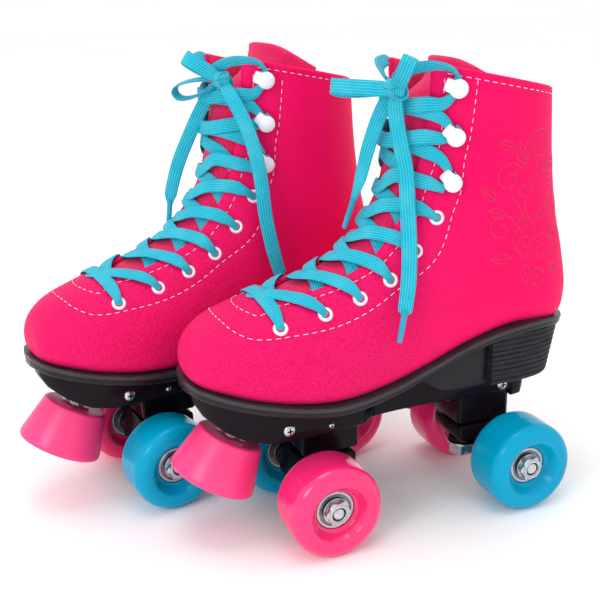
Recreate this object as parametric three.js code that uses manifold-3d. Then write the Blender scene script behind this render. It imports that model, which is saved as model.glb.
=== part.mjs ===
// A pair of quad roller skates: high lace-up boots on plates with two steering
// trucks each, four wheels per skate and a toe stop under each toe.
//
// Millimetres, +X toward the toes, +Y toward the wearer's left, +Z up, floor at z = 0.
// Each skate is designed in its own frame: x = 0 midway between its axles, y = 0 on
// its centreline, with its outer side toward +Y. The right skate is the mirror image.

import * as THREE from 'three';
import { mergeVertices } from 'three/addons/utils/BufferGeometryUtils.js';
import Module from 'manifold-3d';

const wasm = await Module();
wasm.setup();

// ---- Driving dimensions ----------------------------------------------------

const GAP = 0.35; // between pieces that touch

const WHEEL_RADIUS = 27;
const WHEEL_HALF_WIDTH = 15.5;
const WHEEL_EDGE_RADIUS = 6.9;
const DISH_RADIUS = 17;
const AXLE_X = 62; // half the wheelbase
const WHEEL_Y = 38; // half the track

const BEARING_RADIUS = 11;
const BEARING_OUTER_Y = 8.3; // from the wheel's middle to the bearing's outer face
const SPACER_RADIUS = 6;
const HUB_RIB_RADIUS = 9.5;
const HUB_RIB_HALF_WIDTH = 1;
const AXLE_RADIUS = 4;
const AXLE_NUT_ACROSS = 13;
const AXLE_NUT_HEIGHT = 4.8;

const KINGPIN_X = 45;
const KINGPIN_RADIUS = 4.7;
const KINGPIN_TIP_Z = 17.5;
const KINGPIN_TOP_Z = 66;
const KINGPIN_NUT_ACROSS = 14;
const PIVOT_BALL = { x: 59.5, z: 50, radius: 3.8 };
const PIVOT_CLEARANCE = 1.2;

const HOUSING = { back: 33, front: 68, halfWidth: 16, bottom: 46, roof: 61, wall: 2.4 };
const HANGER_HALF_WIDTH = 15.4;
const HANGER_TUBE_RADIUS = 8.8;
const HANGER_TIP_RADIUS = 7;
const KINGPIN_HOLE_RADIUS = 6.3;

const CUSHION_RADIUS = 8;
const CUSHION_TOP_Z = [44.5, 60.5];
const CUSHION_LOW_Z = [27.4, 29.9];

const BOOT_WALL = 3.5;
const SOLE_THICKNESS = 5.5;
const SOLE_LIP = 0.8;
const HEEL_BOTTOM_Z = 74;
const TOE_INSET = 3; // how far the toe leans toward the other foot

const TOE_STOP_TILT = THREE.MathUtils.degToRad(28);
const TOE_STOP_TOP = { x: 104.9, z: 60.7 };
const TOE_STOP_HEIGHT = 28;
const TOE_STOP_TOP_RADIUS = 18.5;
const TOE_STOP_LOW_RADIUS = 25;
const STEM_RADIUS = 5;
const STEM_NUT_ACROSS = 17;
const STEM_INTO_STOP = 10;
const STEM_INTO_PLATE = 21;

const LACE_RADIUS = 1.5;
const THREADED_SIDES = 5;
const FREE_SIDES = 8;

// Where the right skate stands beside the left one, in the left skate's frame.
const RIGHT_SKATE = { x: 74, y: -96, turn: THREE.MathUtils.degToRad(9) };

// ---- Solids ----------------------------------------------------------------

/** A manifold solid from a closed geometry, turned to face outward if need be. */
function solid(geometry) {
  const bare = geometry.clone();
  bare.deleteAttribute('normal');
  bare.deleteAttribute('uv');
  const merged = mergeVertices(bare, 1e-4);
  const triVerts = Uint32Array.from(merged.index.array);
  const vertProperties = Float32Array.from(merged.attributes.position.array);
  if (signedVolume(vertProperties, triVerts) < 0) {
    for (let i = 0; i < triVerts.length; i += 3) {
      [triVerts[i], triVerts[i + 1]] = [triVerts[i + 1], triVerts[i]];
    }
  }
  return new wasm.Manifold(new wasm.Mesh({ numProp: 3, vertProperties, triVerts }));
}

function signedVolume(positions, triangles) {
  const a = new THREE.Vector3();
  const b = new THREE.Vector3();
  const c = new THREE.Vector3();
  let sum = 0;
  for (let i = 0; i < triangles.length; i += 3) {
    a.fromArray(positions, 3 * triangles[i]);
    b.fromArray(positions, 3 * triangles[i + 1]);
    c.fromArray(positions, 3 * triangles[i + 2]);
    sum += a.dot(b.cross(c));
  }
  return sum / 6;
}

function geometryOf(manifold) {
  const mesh = manifold.getMesh();
  const geometry = new THREE.BufferGeometry();
  geometry.setAttribute('position', new THREE.BufferAttribute(Float32Array.from(mesh.vertProperties), 3));
  geometry.setIndex(Array.from(mesh.triVerts));
  return geometry;
}

/** A closed body through rings of the same number of points, capped by fans. */
function loft(rings) {
  const count = rings[0].length;
  const positions = rings.flat().flatMap((p) => [p.x, p.y, p.z]);
  const index = [];
  for (let i = 0; i + 1 < rings.length; i += 1) {
    for (let j = 0; j < count; j += 1) {
      const next = (j + 1) % count;
      const a = i * count + j;
      const b = i * count + next;
      index.push(a, b, b + count, a, b + count, a + count);
    }
  }
  for (const [start, flip] of [[0, true], [(rings.length - 1) * count, false]]) {
    const middle = new THREE.Vector3();
    for (const p of rings[start / count]) middle.add(p);
    middle.divideScalar(count);
    const hub = positions.length / 3;
    positions.push(middle.x, middle.y, middle.z);
    for (let j = 0; j < count; j += 1) {
      const a = start + j;
      const b = start + ((j + 1) % count);
      index.push(hub, ...(flip ? [b, a] : [a, b]));
    }
  }
  const geometry = new THREE.BufferGeometry();
  geometry.setAttribute('position', new THREE.Float32BufferAttribute(positions, 3));
  geometry.setIndex(index);
  return geometry;
}

/** A body turned about the Y axis from a closed [radius, y] profile. */
function turned(profile, segments) {
  const closed = [...profile, profile[0]].map(([r, y]) => new THREE.Vector2(r, y));
  return solid(new THREE.LatheGeometry(closed, segments));
}

/** A round bar between two points. */
function bar(from, to, fromRadius, toRadius, segments) {
  const along = to.clone().sub(from);
  const geometry = new THREE.CylinderGeometry(toRadius, fromRadius, along.length(), segments);
  const turn = new THREE.Quaternion().setFromUnitVectors(new THREE.Vector3(0, 1, 0), along.normalize());
  geometry.applyQuaternion(turn);
  const middle = from.clone().add(to).multiplyScalar(0.5);
  geometry.translate(middle.x, middle.y, middle.z);
  return solid(geometry);
}

/** A hexagonal bar, sized across its flats. */
function hexBar(from, to, across) {
  const cornerRadius = across / Math.sqrt(3);
  return bar(from, to, cornerRadius, cornerRadius, 6);
}

/** An [x, z] outline extruded across the skate, from -halfWidth to halfWidth. */
function sideExtrusion(outline, halfWidth) {
  const shape = new THREE.Shape(outline.map(([x, z]) => new THREE.Vector2(x, z)));
  const geometry = new THREE.ExtrudeGeometry(shape, { depth: 2 * halfWidth, bevelEnabled: false });
  geometry.rotateX(Math.PI / 2);
  geometry.translate(0, halfWidth, 0);
  return solid(geometry);
}

/** A plan outline, given as [x, half width] from heel to toe, extruded upward. */
function planExtrusion(halfOutline, low, high) {
  const there = halfOutline.map(([x, half]) => new THREE.Vector2(x, half));
  const back = halfOutline.map(([x, half]) => new THREE.Vector2(x, -half)).reverse();
  const geometry = new THREE.ExtrudeGeometry(new THREE.Shape([...there, ...back]), {
    depth: high - low,
    bevelEnabled: false,
  });
  geometry.translate(0, 0, low);
  return solid(geometry);
}

function box(xs, ys, zs) {
  const geometry = new THREE.BoxGeometry(xs[1] - xs[0], ys[1] - ys[0], zs[1] - zs[0]);
  geometry.translate((xs[0] + xs[1]) / 2, (ys[0] + ys[1]) / 2, (zs[0] + zs[1]) / 2);
  return solid(geometry);
}

const at = (x, y, z) => new THREE.Vector3(x, y, z);

/** Smooth value at x in a table of [x, value] rows. */
function smooth(table, x) {
  if (x <= table[0][0]) return table[0][1];
  const last = table.length - 1;
  if (x >= table[last][0]) return table[last][1];
  const i = table.findIndex((row) => row[0] > x) - 1;
  const slope = (k) => {
    const a = table[Math.max(k - 1, 0)];
    const b = table[Math.min(k + 1, last)];
    return (b[1] - a[1]) / (b[0] - a[0]);
  };
  const span = table[i + 1][0] - table[i][0];
  return hermite(table[i][1], table[i + 1][1], slope(i) * span, slope(i + 1) * span, (x - table[i][0]) / span);
}

function hermite(a, b, slopeA, slopeB, f) {
  const g = 1 - f;
  return (1 + 2 * f) * g * g * a + f * g * g * slopeA + f * f * (3 - 2 * f) * b - f * f * g * slopeB;
}

// ---- The boot's shape ------------------------------------------------------

// Sections from toe tip to collar. Each joins a low point (sole, then the back of the
// leg) to a high point (toe box, instep, then the front of the leg):
// low x, low z, high x, high z, half width, squareness below and above, widest at.
const SECTIONS = [
  [129.5, 104, 129.5, 108, 5, 2.2, 2.2, 0.5],
  [128, 99.5, 128, 116, 15, 2.6, 2.2, 0.45],
  [123, 96, 122.5, 124, 23.5, 3, 2.2, 0.42],
  [113, 92.5, 112, 131, 31, 3.4, 2.2, 0.4],
  [97, 87.5, 95, 137, 36.5, 3.8, 2.2, 0.36],
  [75, 83, 72, 144, 39.5, 4, 2.1, 0.33],
  [50, 80.5, 48, 153, 39, 4, 2, 0.33],
  [24, 83, 30, 165, 36.5, 4, 2, 0.34],
  [-3, 89.5, 19, 180, 34.5, 4, 2, 0.36],
  [-31, 99, 11, 196, 34, 4, 2, 0.4],
  [-62, 106, 8, 212, 34, 4, 2.1, 0.44],
  [-94, 105, 6, 226, 35, 3.4, 2.1, 0.48],
  [-105, 118, 5, 236, 35.5, 2.6, 2.1, 0.5],
  [-103, 142, 5, 243, 36, 2.3, 2.1, 0.5],
  [-97, 168, 5, 248.5, 36.5, 2.2, 2.1, 0.5],
  [-92, 200, 5.5, 253, 37.5, 2.2, 2.1, 0.5],
  [-89, 240.5, 6, 261, 38, 2.2, 2.1, 0.5],
];
const COLLAR = SECTIONS.length - 1;
const BOOT_POINTS = 18; // round each section

/** The section's values at a place between 0, the toe, and COLLAR. */
function section(place) {
  const i = Math.min(Math.max(Math.floor(place), 0), COLLAR - 1);
  const [before, a, b, after] = [-1, 0, 1, 2].map((k) => SECTIONS[Math.min(Math.max(i + k, 0), COLLAR)]);
  const halfA = i > 0 ? 0.5 : 1;
  const halfB = i + 1 < COLLAR ? 0.5 : 1;
  const values = a.map((value, k) =>
    hermite(value, b[k], (b[k] - before[k]) * halfA, (after[k] - value) * halfB, place - i),
  );
  const [lowX, lowZ, highX, highZ, halfWidth, squareLow, squareHigh, widest] = values;
  const low = new THREE.Vector2(lowX, lowZ);
  const high = new THREE.Vector2(highX, highZ);
  return { low, high, halfWidth, squareLow, squareHigh, widest };
}

/** How far the boot's centreline leans inward at x. */
const lean = (x) => -TOE_INSET * THREE.MathUtils.smoothstep(x, 20, 120);

/** A point of the boot: angle 0 is the section's high point, pi its low point. */
function bootPoint(place, angle, offset = 0) {
  const { low, high, halfWidth, squareLow, squareHigh, widest } = section(place);
  const up = high.clone().sub(low);
  const length = up.length() + 2 * offset;
  up.normalize();
  const above = Math.cos(angle) > 0;
  const power = 2 / (above ? squareHigh : squareLow);
  const rise = Math.abs(Math.cos(angle)) ** power;
  const share = above ? widest + (1 - widest) * rise : widest * (1 - rise);
  const side = Math.sign(Math.sin(angle)) * Math.abs(Math.sin(angle)) ** power;
  const p = low.clone().addScaledVector(up, length * share - offset);
  return at(p.x, side * (halfWidth + offset) + lean(p.x), p.y);
}

/** The angle at which the boot's surface is halfGap from its centreline. */
function angleAtHalfGap(place, halfGap) {
  const { halfWidth, squareHigh } = section(place);
  return Math.asin((halfGap / halfWidth) ** (squareHigh / 2));
}

function bootRing(place, offset) {
  const turn = (2 * Math.PI) / BOOT_POINTS;
  return Array.from({ length: BOOT_POINTS }, (_, j) => bootPoint(place, turn * j, offset));
}

/** The whole boot as a solid, grown by offset; above the collar it goes on by extra. */
function bootSolid(offset, from, extra) {
  const places = [from, ...Array.from({ length: COLLAR - 1 }, (_, i) => i + 2)];
  if (from < 1) places.splice(1, 0, 1);
  const rings = places.map((place) => bootRing(place, offset));
  if (extra > 0) {
    rings.push(bootRing(COLLAR, offset).map((p) => p.clone().add(at(0, 0, extra))));
  }
  return solid(loft(rings));
}

// Half the gap between the two rows of eyelets' edges, by place.
const THROAT_START = 4.45;
const THROAT_HALF_GAP = [
  [THROAT_START, 13],
  [5, 16.5],
  [6.3, 19],
  [7.4, 20.3],
  [9, 20.5],
  [11, 21],
  [13, 22.5],
  [COLLAR, 25.5],
];

/** The wedge cut from the front of the boot between the two lacing edges. */
function throatCut() {
  const steps = 9;
  const rings = [];
  for (let i = 0; i <= steps; i += 1) {
    const place = THROAT_START + ((COLLAR - THROAT_START) * i) / steps;
    rings.push(throatRing(place, 0));
  }
  rings.push(throatRing(COLLAR, 20));
  return solid(loft(rings));
}

function throatRing(place, lift) {
  const beyond = 12;
  const halfGap = smooth(THROAT_HALF_GAP, place);
  const { low, high } = section(place);
  const up = high.clone().sub(low).normalize();
  const edge = bootPoint(place, angleAtHalfGap(place, halfGap));
  const depth = high.clone().sub(new THREE.Vector2(edge.x, edge.z)).dot(up) + BOOT_WALL + 3;
  const inner = high.clone().addScaledVector(up, -depth);
  const outer = high.clone().addScaledVector(up, beyond);
  const centre = lean(high.x);
  return [
    at(outer.x, centre - halfGap, outer.y + lift),
    at(outer.x, centre + halfGap, outer.y + lift),
    at(inner.x, centre + halfGap, inner.y + lift),
    at(inner.x, centre - halfGap, inner.y + lift),
  ];
}

function bootUpper() {
  const outer = bootSolid(0, 0, 0);
  const inner = bootSolid(-BOOT_WALL, 1.1, 12);
  return outer.subtract(inner).subtract(throatCut());
}

// ---- Tongue and insole -----------------------------------------------------

const TONGUE_RISE = 0.5; // above the collar's section
const TONGUE_SLUMP = 30; // how far its top falls back into the boot
const TONGUE_THICKNESS = 3;

function tongue() {
  const steps = 11;
  const from = THROAT_START + 0.35;
  const rings = [];
  for (let i = 0; i <= steps; i += 1) {
    rings.push(tongueRing(from + ((COLLAR - from) * i) / steps));
  }
  const top = tongueRing(COLLAR);
  rings.push(top.map((p) => p.clone().add(at(-0.8, 0, TONGUE_RISE))));
  return solid(loft(rings));
}

function tongueRing(place) {
  const overlap = 6;
  const span = 4;
  const reach = angleAtHalfGap(place, smooth(THROAT_HALF_GAP, place) + overlap);
  const outside = -BOOT_WALL - 1.1;
  const slump = at(-TONGUE_SLUMP * THREE.MathUtils.smoothstep(place, 9.5, COLLAR), 0, 0);
  const across = Array.from({ length: span + 1 }, (_, j) => reach * ((2 * j) / span - 1));
  const over = across.map((angle) => bootPoint(place, angle, outside));
  const under = across.map((angle) => bootPoint(place, angle, outside - TONGUE_THICKNESS)).reverse();
  return [...over, ...under].map((p) => p.add(slump));
}

const INSOLE_THICKNESS = 4;

/** The footbed: flat under the heel, then following the sole down to the toes. */
function insole() {
  const halfWidths = [[-84, 14], [-74, 20], [-55, 22], [-20, 22], [20, 25], [60, 29], [95, 25], [112, 14]];
  const heights = [
    [-84, 115.5],
    [-74, 115.5],
    [-50, 115.5],
    [-31, 108.5],
    [-3, 98.5],
    [24, 92],
    [50, 89.5],
    [75, 92],
    [97, 97],
    [112, 103],
  ];
  const rings = [-84, -74, -50, -31, -14, -3, 10, 24, 37, 50, 62, 75, 86, 97, 105, 112].map((x) => {
    const half = smooth(halfWidths, x);
    const top = smooth(heights, x);
    const centre = lean(x);
    return [
      at(x, centre - half, top),
      at(x, centre + half, top),
      at(x, centre + half - 2, top - INSOLE_THICKNESS),
      at(x, centre - half + 2, top - INSOLE_THICKNESS),
    ];
  });
  return solid(loft(rings)).intersect(bootSolid(-BOOT_WALL - GAP, 1.15, 0));
}

// ---- Sole and heel ---------------------------------------------------------

// Height of the line where the boot meets the sole, by x.
const SOLE_LINE = [
  [-106, 107],
  [-82, 109.5],
  [-56, 107.5],
  [-31, 102.5],
  [-5, 94],
  [20, 87],
  [50, 83],
  [70, 84.5],
  [102, 91],
  [132, 99],
];

const SOLE_HALF_WIDTH = [
  [-106, 5],
  [-104, 13],
  [-98, 22],
  [-88, 28],
  [-72, 31],
  [-40, 32],
  [-5, 34],
  [24, 37],
  [50, 40],
  [75, 40.5],
  [97, 37.5],
  [113, 32],
  [123, 25],
  [128.5, 17],
  [131.5, 6],
];

/** The sole's slab, grown by offset, before the boot's underside is cut from it. */
function soleSlab(offset) {
  const xs = SOLE_HALF_WIDTH.map((row) => row[0]);
  const rings = xs.map((x) => {
    const half = smooth(SOLE_HALF_WIDTH, x) + offset;
    const top = smooth(SOLE_LINE, x) + SOLE_LIP + offset;
    const bottom = smooth(SOLE_LINE, x) - SOLE_THICKNESS - offset;
    const centre = lean(x);
    return [
      at(x, centre - half, top),
      at(x, centre + half, top),
      at(x, centre + half - 1.2, bottom),
      at(x, centre - half + 1.2, bottom),
    ];
  });
  rings[0].forEach((p) => p.setX(p.x - offset));
  rings[rings.length - 1].forEach((p) => p.setX(p.x + offset));
  return solid(loft(rings));
}

/** The stacked heel and the wedge that fills the arch, grown by offset. */
function heelBlock(offset) {
  const side = [
    [-103 - offset, 104],
    [-95.5 - offset, HEEL_BOTTOM_Z - offset],
    [-18, HEEL_BOTTOM_Z - offset],
    [-4 + offset, 82],
    [6 + offset, 88],
    [-31, 99],
  ];
  const plan = [
    [-105 - offset, 4],
    [-103 - offset, 12 + offset],
    [-97 - offset, 20.5 + offset],
    [-88, 26 + offset],
    [-72, 29 + offset],
    [-46, 29.5 + offset],
    [-45, 24 + offset],
    [8 + offset, 26 + offset],
  ];
  return sideExtrusion(side, 45).intersect(planExtrusion(plan, 60, 120));
}

function soleUnit() {
  const boot = bootSolid(GAP, 0, 0);
  return soleSlab(0).add(heelBlock(0)).subtract(boot);
}

// ---- Chassis ---------------------------------------------------------------

const PLATE_SIDE = [
  [-81, HEEL_BOTTOM_Z + 1],
  [-81, HEEL_BOTTOM_Z - GAP],
  [-75, 59.5],
  [-68, 59.5],
  [-66, 64],
  [90, 64],
  [104, 67],
  [114, 72],
  [123, 79],
  [126, 87],
  ...[126, 102, 70, 50, 20, 0].map((x) => [x, smooth(SOLE_LINE, x) - SOLE_THICKNESS / 2]),
  [-18, HEEL_BOTTOM_Z + 1],
];

const PLATE_PLAN = [
  [-81, 12],
  [-76, 18],
  [-66, 20],
  [-30, 20],
  [-10, 19],
  [25, 21],
  [36, 28],
  [92, 30],
  [108, 25],
  [119, 17],
  [126, 6],
];

/** Direction along the toe stop's stem, from the stop up into the plate. */
const STEM_UP = at(-Math.sin(TOE_STOP_TILT), 0, Math.cos(TOE_STOP_TILT));

const onStem = (distance) => at(TOE_STOP_TOP.x, 0, TOE_STOP_TOP.z).addScaledVector(STEM_UP, distance);

/** One truck housing, open below, with the cup for the hanger's pivot ball. */
function truckHousing() {
  const { back, front, halfWidth, bottom } = HOUSING;
  const top = 70;
  return sideExtrusion([[back, top], [back + 1, bottom], [front - 1, bottom], [front, top]], halfWidth);
}

function truckCavity() {
  const { back, front, halfWidth, bottom, roof, wall } = HOUSING;
  const room = box([back + wall, front - wall], [-halfWidth + wall, halfWidth - wall], [bottom - 2, roof]);
  const cup = box([54.5, front - wall + 1], [-8, 8], [PIVOT_BALL.z + 1, roof + 1]);
  const ball = at(PIVOT_BALL.x, 0, PIVOT_BALL.z);
  const reach = PIVOT_BALL.radius + PIVOT_CLEARANCE;
  const socketGeometry = new THREE.SphereGeometry(reach, 8, 6);
  socketGeometry.translate(ball.x, ball.y, ball.z);
  const pin = bar(at(KINGPIN_X, 0, roof - 1), at(KINGPIN_X, 0, KINGPIN_TOP_Z + 0.5), 5.2, 5.2, 10);
  return room.subtract(cup).add(solid(socketGeometry)).add(pin);
}

function chassis() {
  const slab = sideExtrusion(PLATE_SIDE, 45).intersect(planExtrusion(PLATE_PLAN, 50, 105));
  const boss = bar(onStem(6.4), onStem(16), 11, 14, 12);
  let body = slab.add(boss);
  for (const turn of [0, Math.PI]) {
    body = body.add(turnedTruck(truckHousing(), turn));
  }
  for (const turn of [0, Math.PI]) {
    body = body.subtract(turnedTruck(truckCavity(), turn));
  }
  const stemBore = bar(onStem(5), onStem(STEM_INTO_PLATE + 1), STEM_RADIUS + GAP, STEM_RADIUS + GAP, 10);
  return body.subtract(stemBore).subtract(soleSlab(GAP)).subtract(heelBlock(GAP));
}

/** A truck piece as it sits at the front, or turned half round for the rear. */
function turnedTruck(piece, turn) {
  return piece.rotate([0, 0, THREE.MathUtils.radToDeg(turn)]);
}

// ---- Toe stop --------------------------------------------------------------

function toeStop() {
  const rim = 3;
  const profile = [
    [0, 0],
    [TOE_STOP_LOW_RADIUS - rim, 0],
    [TOE_STOP_LOW_RADIUS - 0.8, 0.9],
    [TOE_STOP_LOW_RADIUS, rim],
    [TOE_STOP_TOP_RADIUS + 0.6, TOE_STOP_HEIGHT - 1],
    [TOE_STOP_TOP_RADIUS - 0.8, TOE_STOP_HEIGHT],
    [0, TOE_STOP_HEIGHT],
  ];
  const geometry = new THREE.LatheGeometry(profile.map(([r, y]) => new THREE.Vector2(r, y)), 22);
  const turn = new THREE.Quaternion().setFromUnitVectors(at(0, 1, 0), STEM_UP);
  geometry.translate(0, -TOE_STOP_HEIGHT, 0);
  geometry.applyQuaternion(turn);
  geometry.translate(TOE_STOP_TOP.x, 0, TOE_STOP_TOP.z);
  const boreRadius = STEM_RADIUS + GAP;
  return solid(geometry).subtract(bar(onStem(-STEM_INTO_STOP - 1), onStem(2), boreRadius, boreRadius, 10));
}

function toeStopStem() {
  const stem = bar(onStem(-STEM_INTO_STOP), onStem(STEM_INTO_PLATE), STEM_RADIUS, STEM_RADIUS, 10);
  return stem.add(hexBar(onStem(0.6), onStem(5.6), STEM_NUT_ACROSS));
}

// ---- Trucks ----------------------------------------------------------------

function hanger() {
  const side = [
    [34.5, 43],
    [34.5, 35],
    [37, 32.6],
    [52, 31],
    [56, 20],
    [60, 18.4],
    [66, 19],
    [70.5, 25],
    [70.5, 32],
    [68, 43],
  ];
  const shoulder = WHEEL_Y - BEARING_OUTER_Y - GAP;
  let body = sideExtrusion(side, HANGER_HALF_WIDTH);
  for (const sign of [-1, 1]) {
    const inner = at(AXLE_X, sign * 4, WHEEL_RADIUS);
    const outer = at(AXLE_X, sign * shoulder, WHEEL_RADIUS);
    body = body.add(bar(inner, outer, HANGER_TUBE_RADIUS, HANGER_TIP_RADIUS, 12));
  }
  const ball = new THREE.SphereGeometry(PIVOT_BALL.radius, 8, 6);
  ball.translate(PIVOT_BALL.x, 0, PIVOT_BALL.z);
  body = body.add(bar(at(PIVOT_BALL.x, 0, 38), at(PIVOT_BALL.x, 0, PIVOT_BALL.z), 3, 3, 8)).add(solid(ball));
  const kingpinHole = bar(at(KINGPIN_X, 0, 25), at(KINGPIN_X, 0, 45), KINGPIN_HOLE_RADIUS, KINGPIN_HOLE_RADIUS, 12);
  const axleHole = bar(at(AXLE_X, -60, WHEEL_RADIUS), at(AXLE_X, 60, WHEEL_RADIUS), AXLE_RADIUS + GAP, AXLE_RADIUS + GAP, 10);
  return body.subtract(kingpinHole).subtract(axleHole);
}

function axle() {
  const end = WHEEL_Y + 13.8;
  return bar(at(AXLE_X, -end, WHEEL_RADIUS), at(AXLE_X, end, WHEEL_RADIUS), AXLE_RADIUS, AXLE_RADIUS, 10);
}

function kingpin() {
  const on = (z) => at(KINGPIN_X, 0, z);
  const pin = bar(on(KINGPIN_TIP_Z), on(KINGPIN_TOP_Z), KINGPIN_RADIUS, KINGPIN_RADIUS, 10);
  const nut = hexBar(on(19), on(25.6), KINGPIN_NUT_ACROSS);
  const washer = bar(on(25.5), on(27), 8.5, 8.5, 12);
  return pin.add(nut).add(washer);
}

/** Both rubber cushions of a truck, joined by the thin sleeve round the kingpin. */
function cushion() {
  const inner = KINGPIN_RADIUS + GAP;
  const sleeve = inner + 0.7;
  const profile = [
    [inner, CUSHION_LOW_Z[0]],
    [CUSHION_RADIUS, CUSHION_LOW_Z[0]],
    [CUSHION_RADIUS - 0.6, CUSHION_LOW_Z[1]],
    [sleeve, CUSHION_LOW_Z[1]],
    [sleeve, CUSHION_TOP_Z[0]],
    [CUSHION_RADIUS - 0.6, CUSHION_TOP_Z[0]],
    [CUSHION_RADIUS, CUSHION_TOP_Z[1]],
    [inner, CUSHION_TOP_Z[1]],
  ];
  return turned(profile, 10).rotate([90, 0, 0]).translate([KINGPIN_X, 0, 0]);
}

// ---- Wheels ----------------------------------------------------------------

/** A wheel turned about Y, with a dish each side and a rib between the bearings. */
function wheel() {
  const seat = BEARING_RADIUS + 1.5 * GAP;
  const dishFloor = BEARING_OUTER_Y + 0.4;
  const edge = WHEEL_HALF_WIDTH - WHEEL_EDGE_RADIUS;
  const half = [
    [HUB_RIB_RADIUS, HUB_RIB_HALF_WIDTH],
    [seat, HUB_RIB_HALF_WIDTH],
    [seat, dishFloor],
    [DISH_RADIUS, WHEEL_HALF_WIDTH],
  ];
  const arcSteps = 2;
  for (let i = 0; i <= arcSteps; i += 1) {
    const angle = (Math.PI / 2) * (1 - i / arcSteps);
    const radius = WHEEL_RADIUS - WHEEL_EDGE_RADIUS + WHEEL_EDGE_RADIUS * Math.cos(angle);
    half.push([radius, edge + WHEEL_EDGE_RADIUS * Math.sin(angle)]);
  }
  const other = half.map(([r, y]) => [r, -y]).reverse();
  return turned([...half, ...other], 16);
}

function bearingSet() {
  const bore = AXLE_RADIUS + GAP;
  const inner = HUB_RIB_HALF_WIDTH + GAP;
  const half = [
    [bore, BEARING_OUTER_Y],
    [BEARING_RADIUS, BEARING_OUTER_Y],
    [BEARING_RADIUS, inner],
    [SPACER_RADIUS, inner],
  ];
  const other = half.map(([r, y]) => [r, -y]).reverse();
  return turned([...half, ...other], 10);
}

/** The nut, standing on the bearing's face toward +Y. Its bore's flats clear the axle. */
function axleNut() {
  const low = BEARING_OUTER_Y + GAP;
  const corner = AXLE_NUT_ACROSS / Math.sqrt(3);
  const bore = (AXLE_RADIUS + GAP) / Math.cos(Math.PI / 6);
  return turned([[bore, low], [corner, low], [corner, low + AXLE_NUT_HEIGHT], [bore, low + AXLE_NUT_HEIGHT]], 6);
}

// ---- Laces -----------------------------------------------------------------

// Eyelets and hooks from the toe to the collar: place on the boot and distance from
// its centreline.
const EYELETS = [
  [4.54, 29],
  [5.57, 29.5],
  [6.48, 29],
  [7.48, 29],
  [8.53, 28.5],
  [9.64, 29],
  [10.86, 29],
  [13, 29.5],
  [15.45, 32],
];

/** A round tube with flat ends along a smooth curve through the points. */
function tube(points, radius, steps, sides) {
  const section2d = Array.from({ length: sides }, (_, i) => {
    const angle = (2 * Math.PI * i) / sides;
    return new THREE.Vector2(radius * Math.cos(angle), radius * Math.sin(angle));
  });
  const extrudePath = new THREE.CatmullRomCurve3(points, false, 'centripetal');
  return solid(new THREE.ExtrudeGeometry(new THREE.Shape(section2d), { steps, extrudePath, bevelEnabled: false }));
}

/** A point of the lacing: share 1 is the +Y eyelet row, -1 the other row, 0 the middle. */
function lacePoint(place, share, lift) {
  return bootPoint(place, share * angleAtHalfGap(place, smooth(EYELETS, place)), lift);
}

/** One lace strand zigzagging up the boot from the first eyelet on side `first`. */
function strand(first, lowLift, highLift) {
  const turnSpan = 0.13;
  const points = [];
  for (let i = 0; i + 1 < EYELETS.length; i += 1) {
    const side = i % 2 === 0 ? first : -first;
    const from = EYELETS[i][0] + turnSpan;
    const to = EYELETS[i + 1][0] - turnSpan;
    const middleLift = side > 0 ? highLift : lowLift;
    points.push(lacePoint(from, side, lowLift));
    points.push(lacePoint(from + (to - from) * 0.25, side * 0.5, middleLift));
    points.push(lacePoint(from + (to - from) * 0.5, 0, middleLift));
    points.push(lacePoint(from + (to - from) * 0.75, -side * 0.5, middleLift));
    points.push(lacePoint(to, -side, lowLift));
  }
  return points;
}

/** The part of the lace that is drawn tight through the eyelets and round the hooks. */
function threadedLace() {
  const lowLift = LACE_RADIUS + 2.4;
  const highLift = lowLift + 2 * LACE_RADIUS + 0.6;
  const left = strand(1, lowLift, highLift);
  const right = strand(-1, lowLift, highLift);
  const bottomBar = lacePoint(EYELETS[0][0] - 0.1, 0, lowLift);
  const points = [...left.reverse(), bottomBar, ...right];
  return tube(points, LACE_RADIUS, 104, THREADED_SIDES);
}

// The bow of each skate, in that skate's own frame but with +Y toward the wearer's
// left on both: the knot, two tails and two loops, as points that the lace follows.
const BOWS = {
  left: {
    knot: [13, 19, 247],
    tails: [
      [[13, 19, 247], [13, 18, 238], [11, 18, 225], [9, 23, 205], [10, 28, 184], [12, 34, 164], [15, 39, 148],
        [19, 43, 134], [23, 45, 118]],
      [[13, 19, 247], [16, 12, 240], [19, 5, 229], [23, 0, 214], [27, -3, 198], [31, -5, 184], [34, -7, 171]],
    ],
    loops: [
      [[13, 19, 247], [20, 8, 252], [28, -3, 253], [35, -9, 249], [30, -7, 243], [22, 4, 243], [13, 19, 247]],
      [[13, 19, 247], [15, 26, 255], [12, 32, 264], [6, 36, 266], [5, 34, 259], [9, 28, 252], [13, 19, 247]],
    ],
  },
  right: {
    knot: [12, 16, 247],
    tails: [
      [[12, 16, 247], [10, 25, 240], [4, 33, 226], [-2, 38, 208], [-5, 41, 190], [-7, 43, 170], [-10, 45, 150],
        [-14, 46, 134], [-18, 46, 118]],
      [[12, 16, 247], [15, 8, 240], [18, 0, 228], [24, -6, 212], [31, -10, 198], [37, -12, 184], [41, -13, 168]],
    ],
    loops: [
      [[12, 16, 247], [19, 6, 253], [26, -5, 251], [32, -13, 241], [29, -11, 234], [20, 1, 239], [12, 16, 247]],
      [[12, 16, 247], [12, 27, 254], [6, 38, 253], [-2, 45, 246], [0, 43, 239], [8, 31, 242], [12, 16, 247]],
    ],
  },
};

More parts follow.
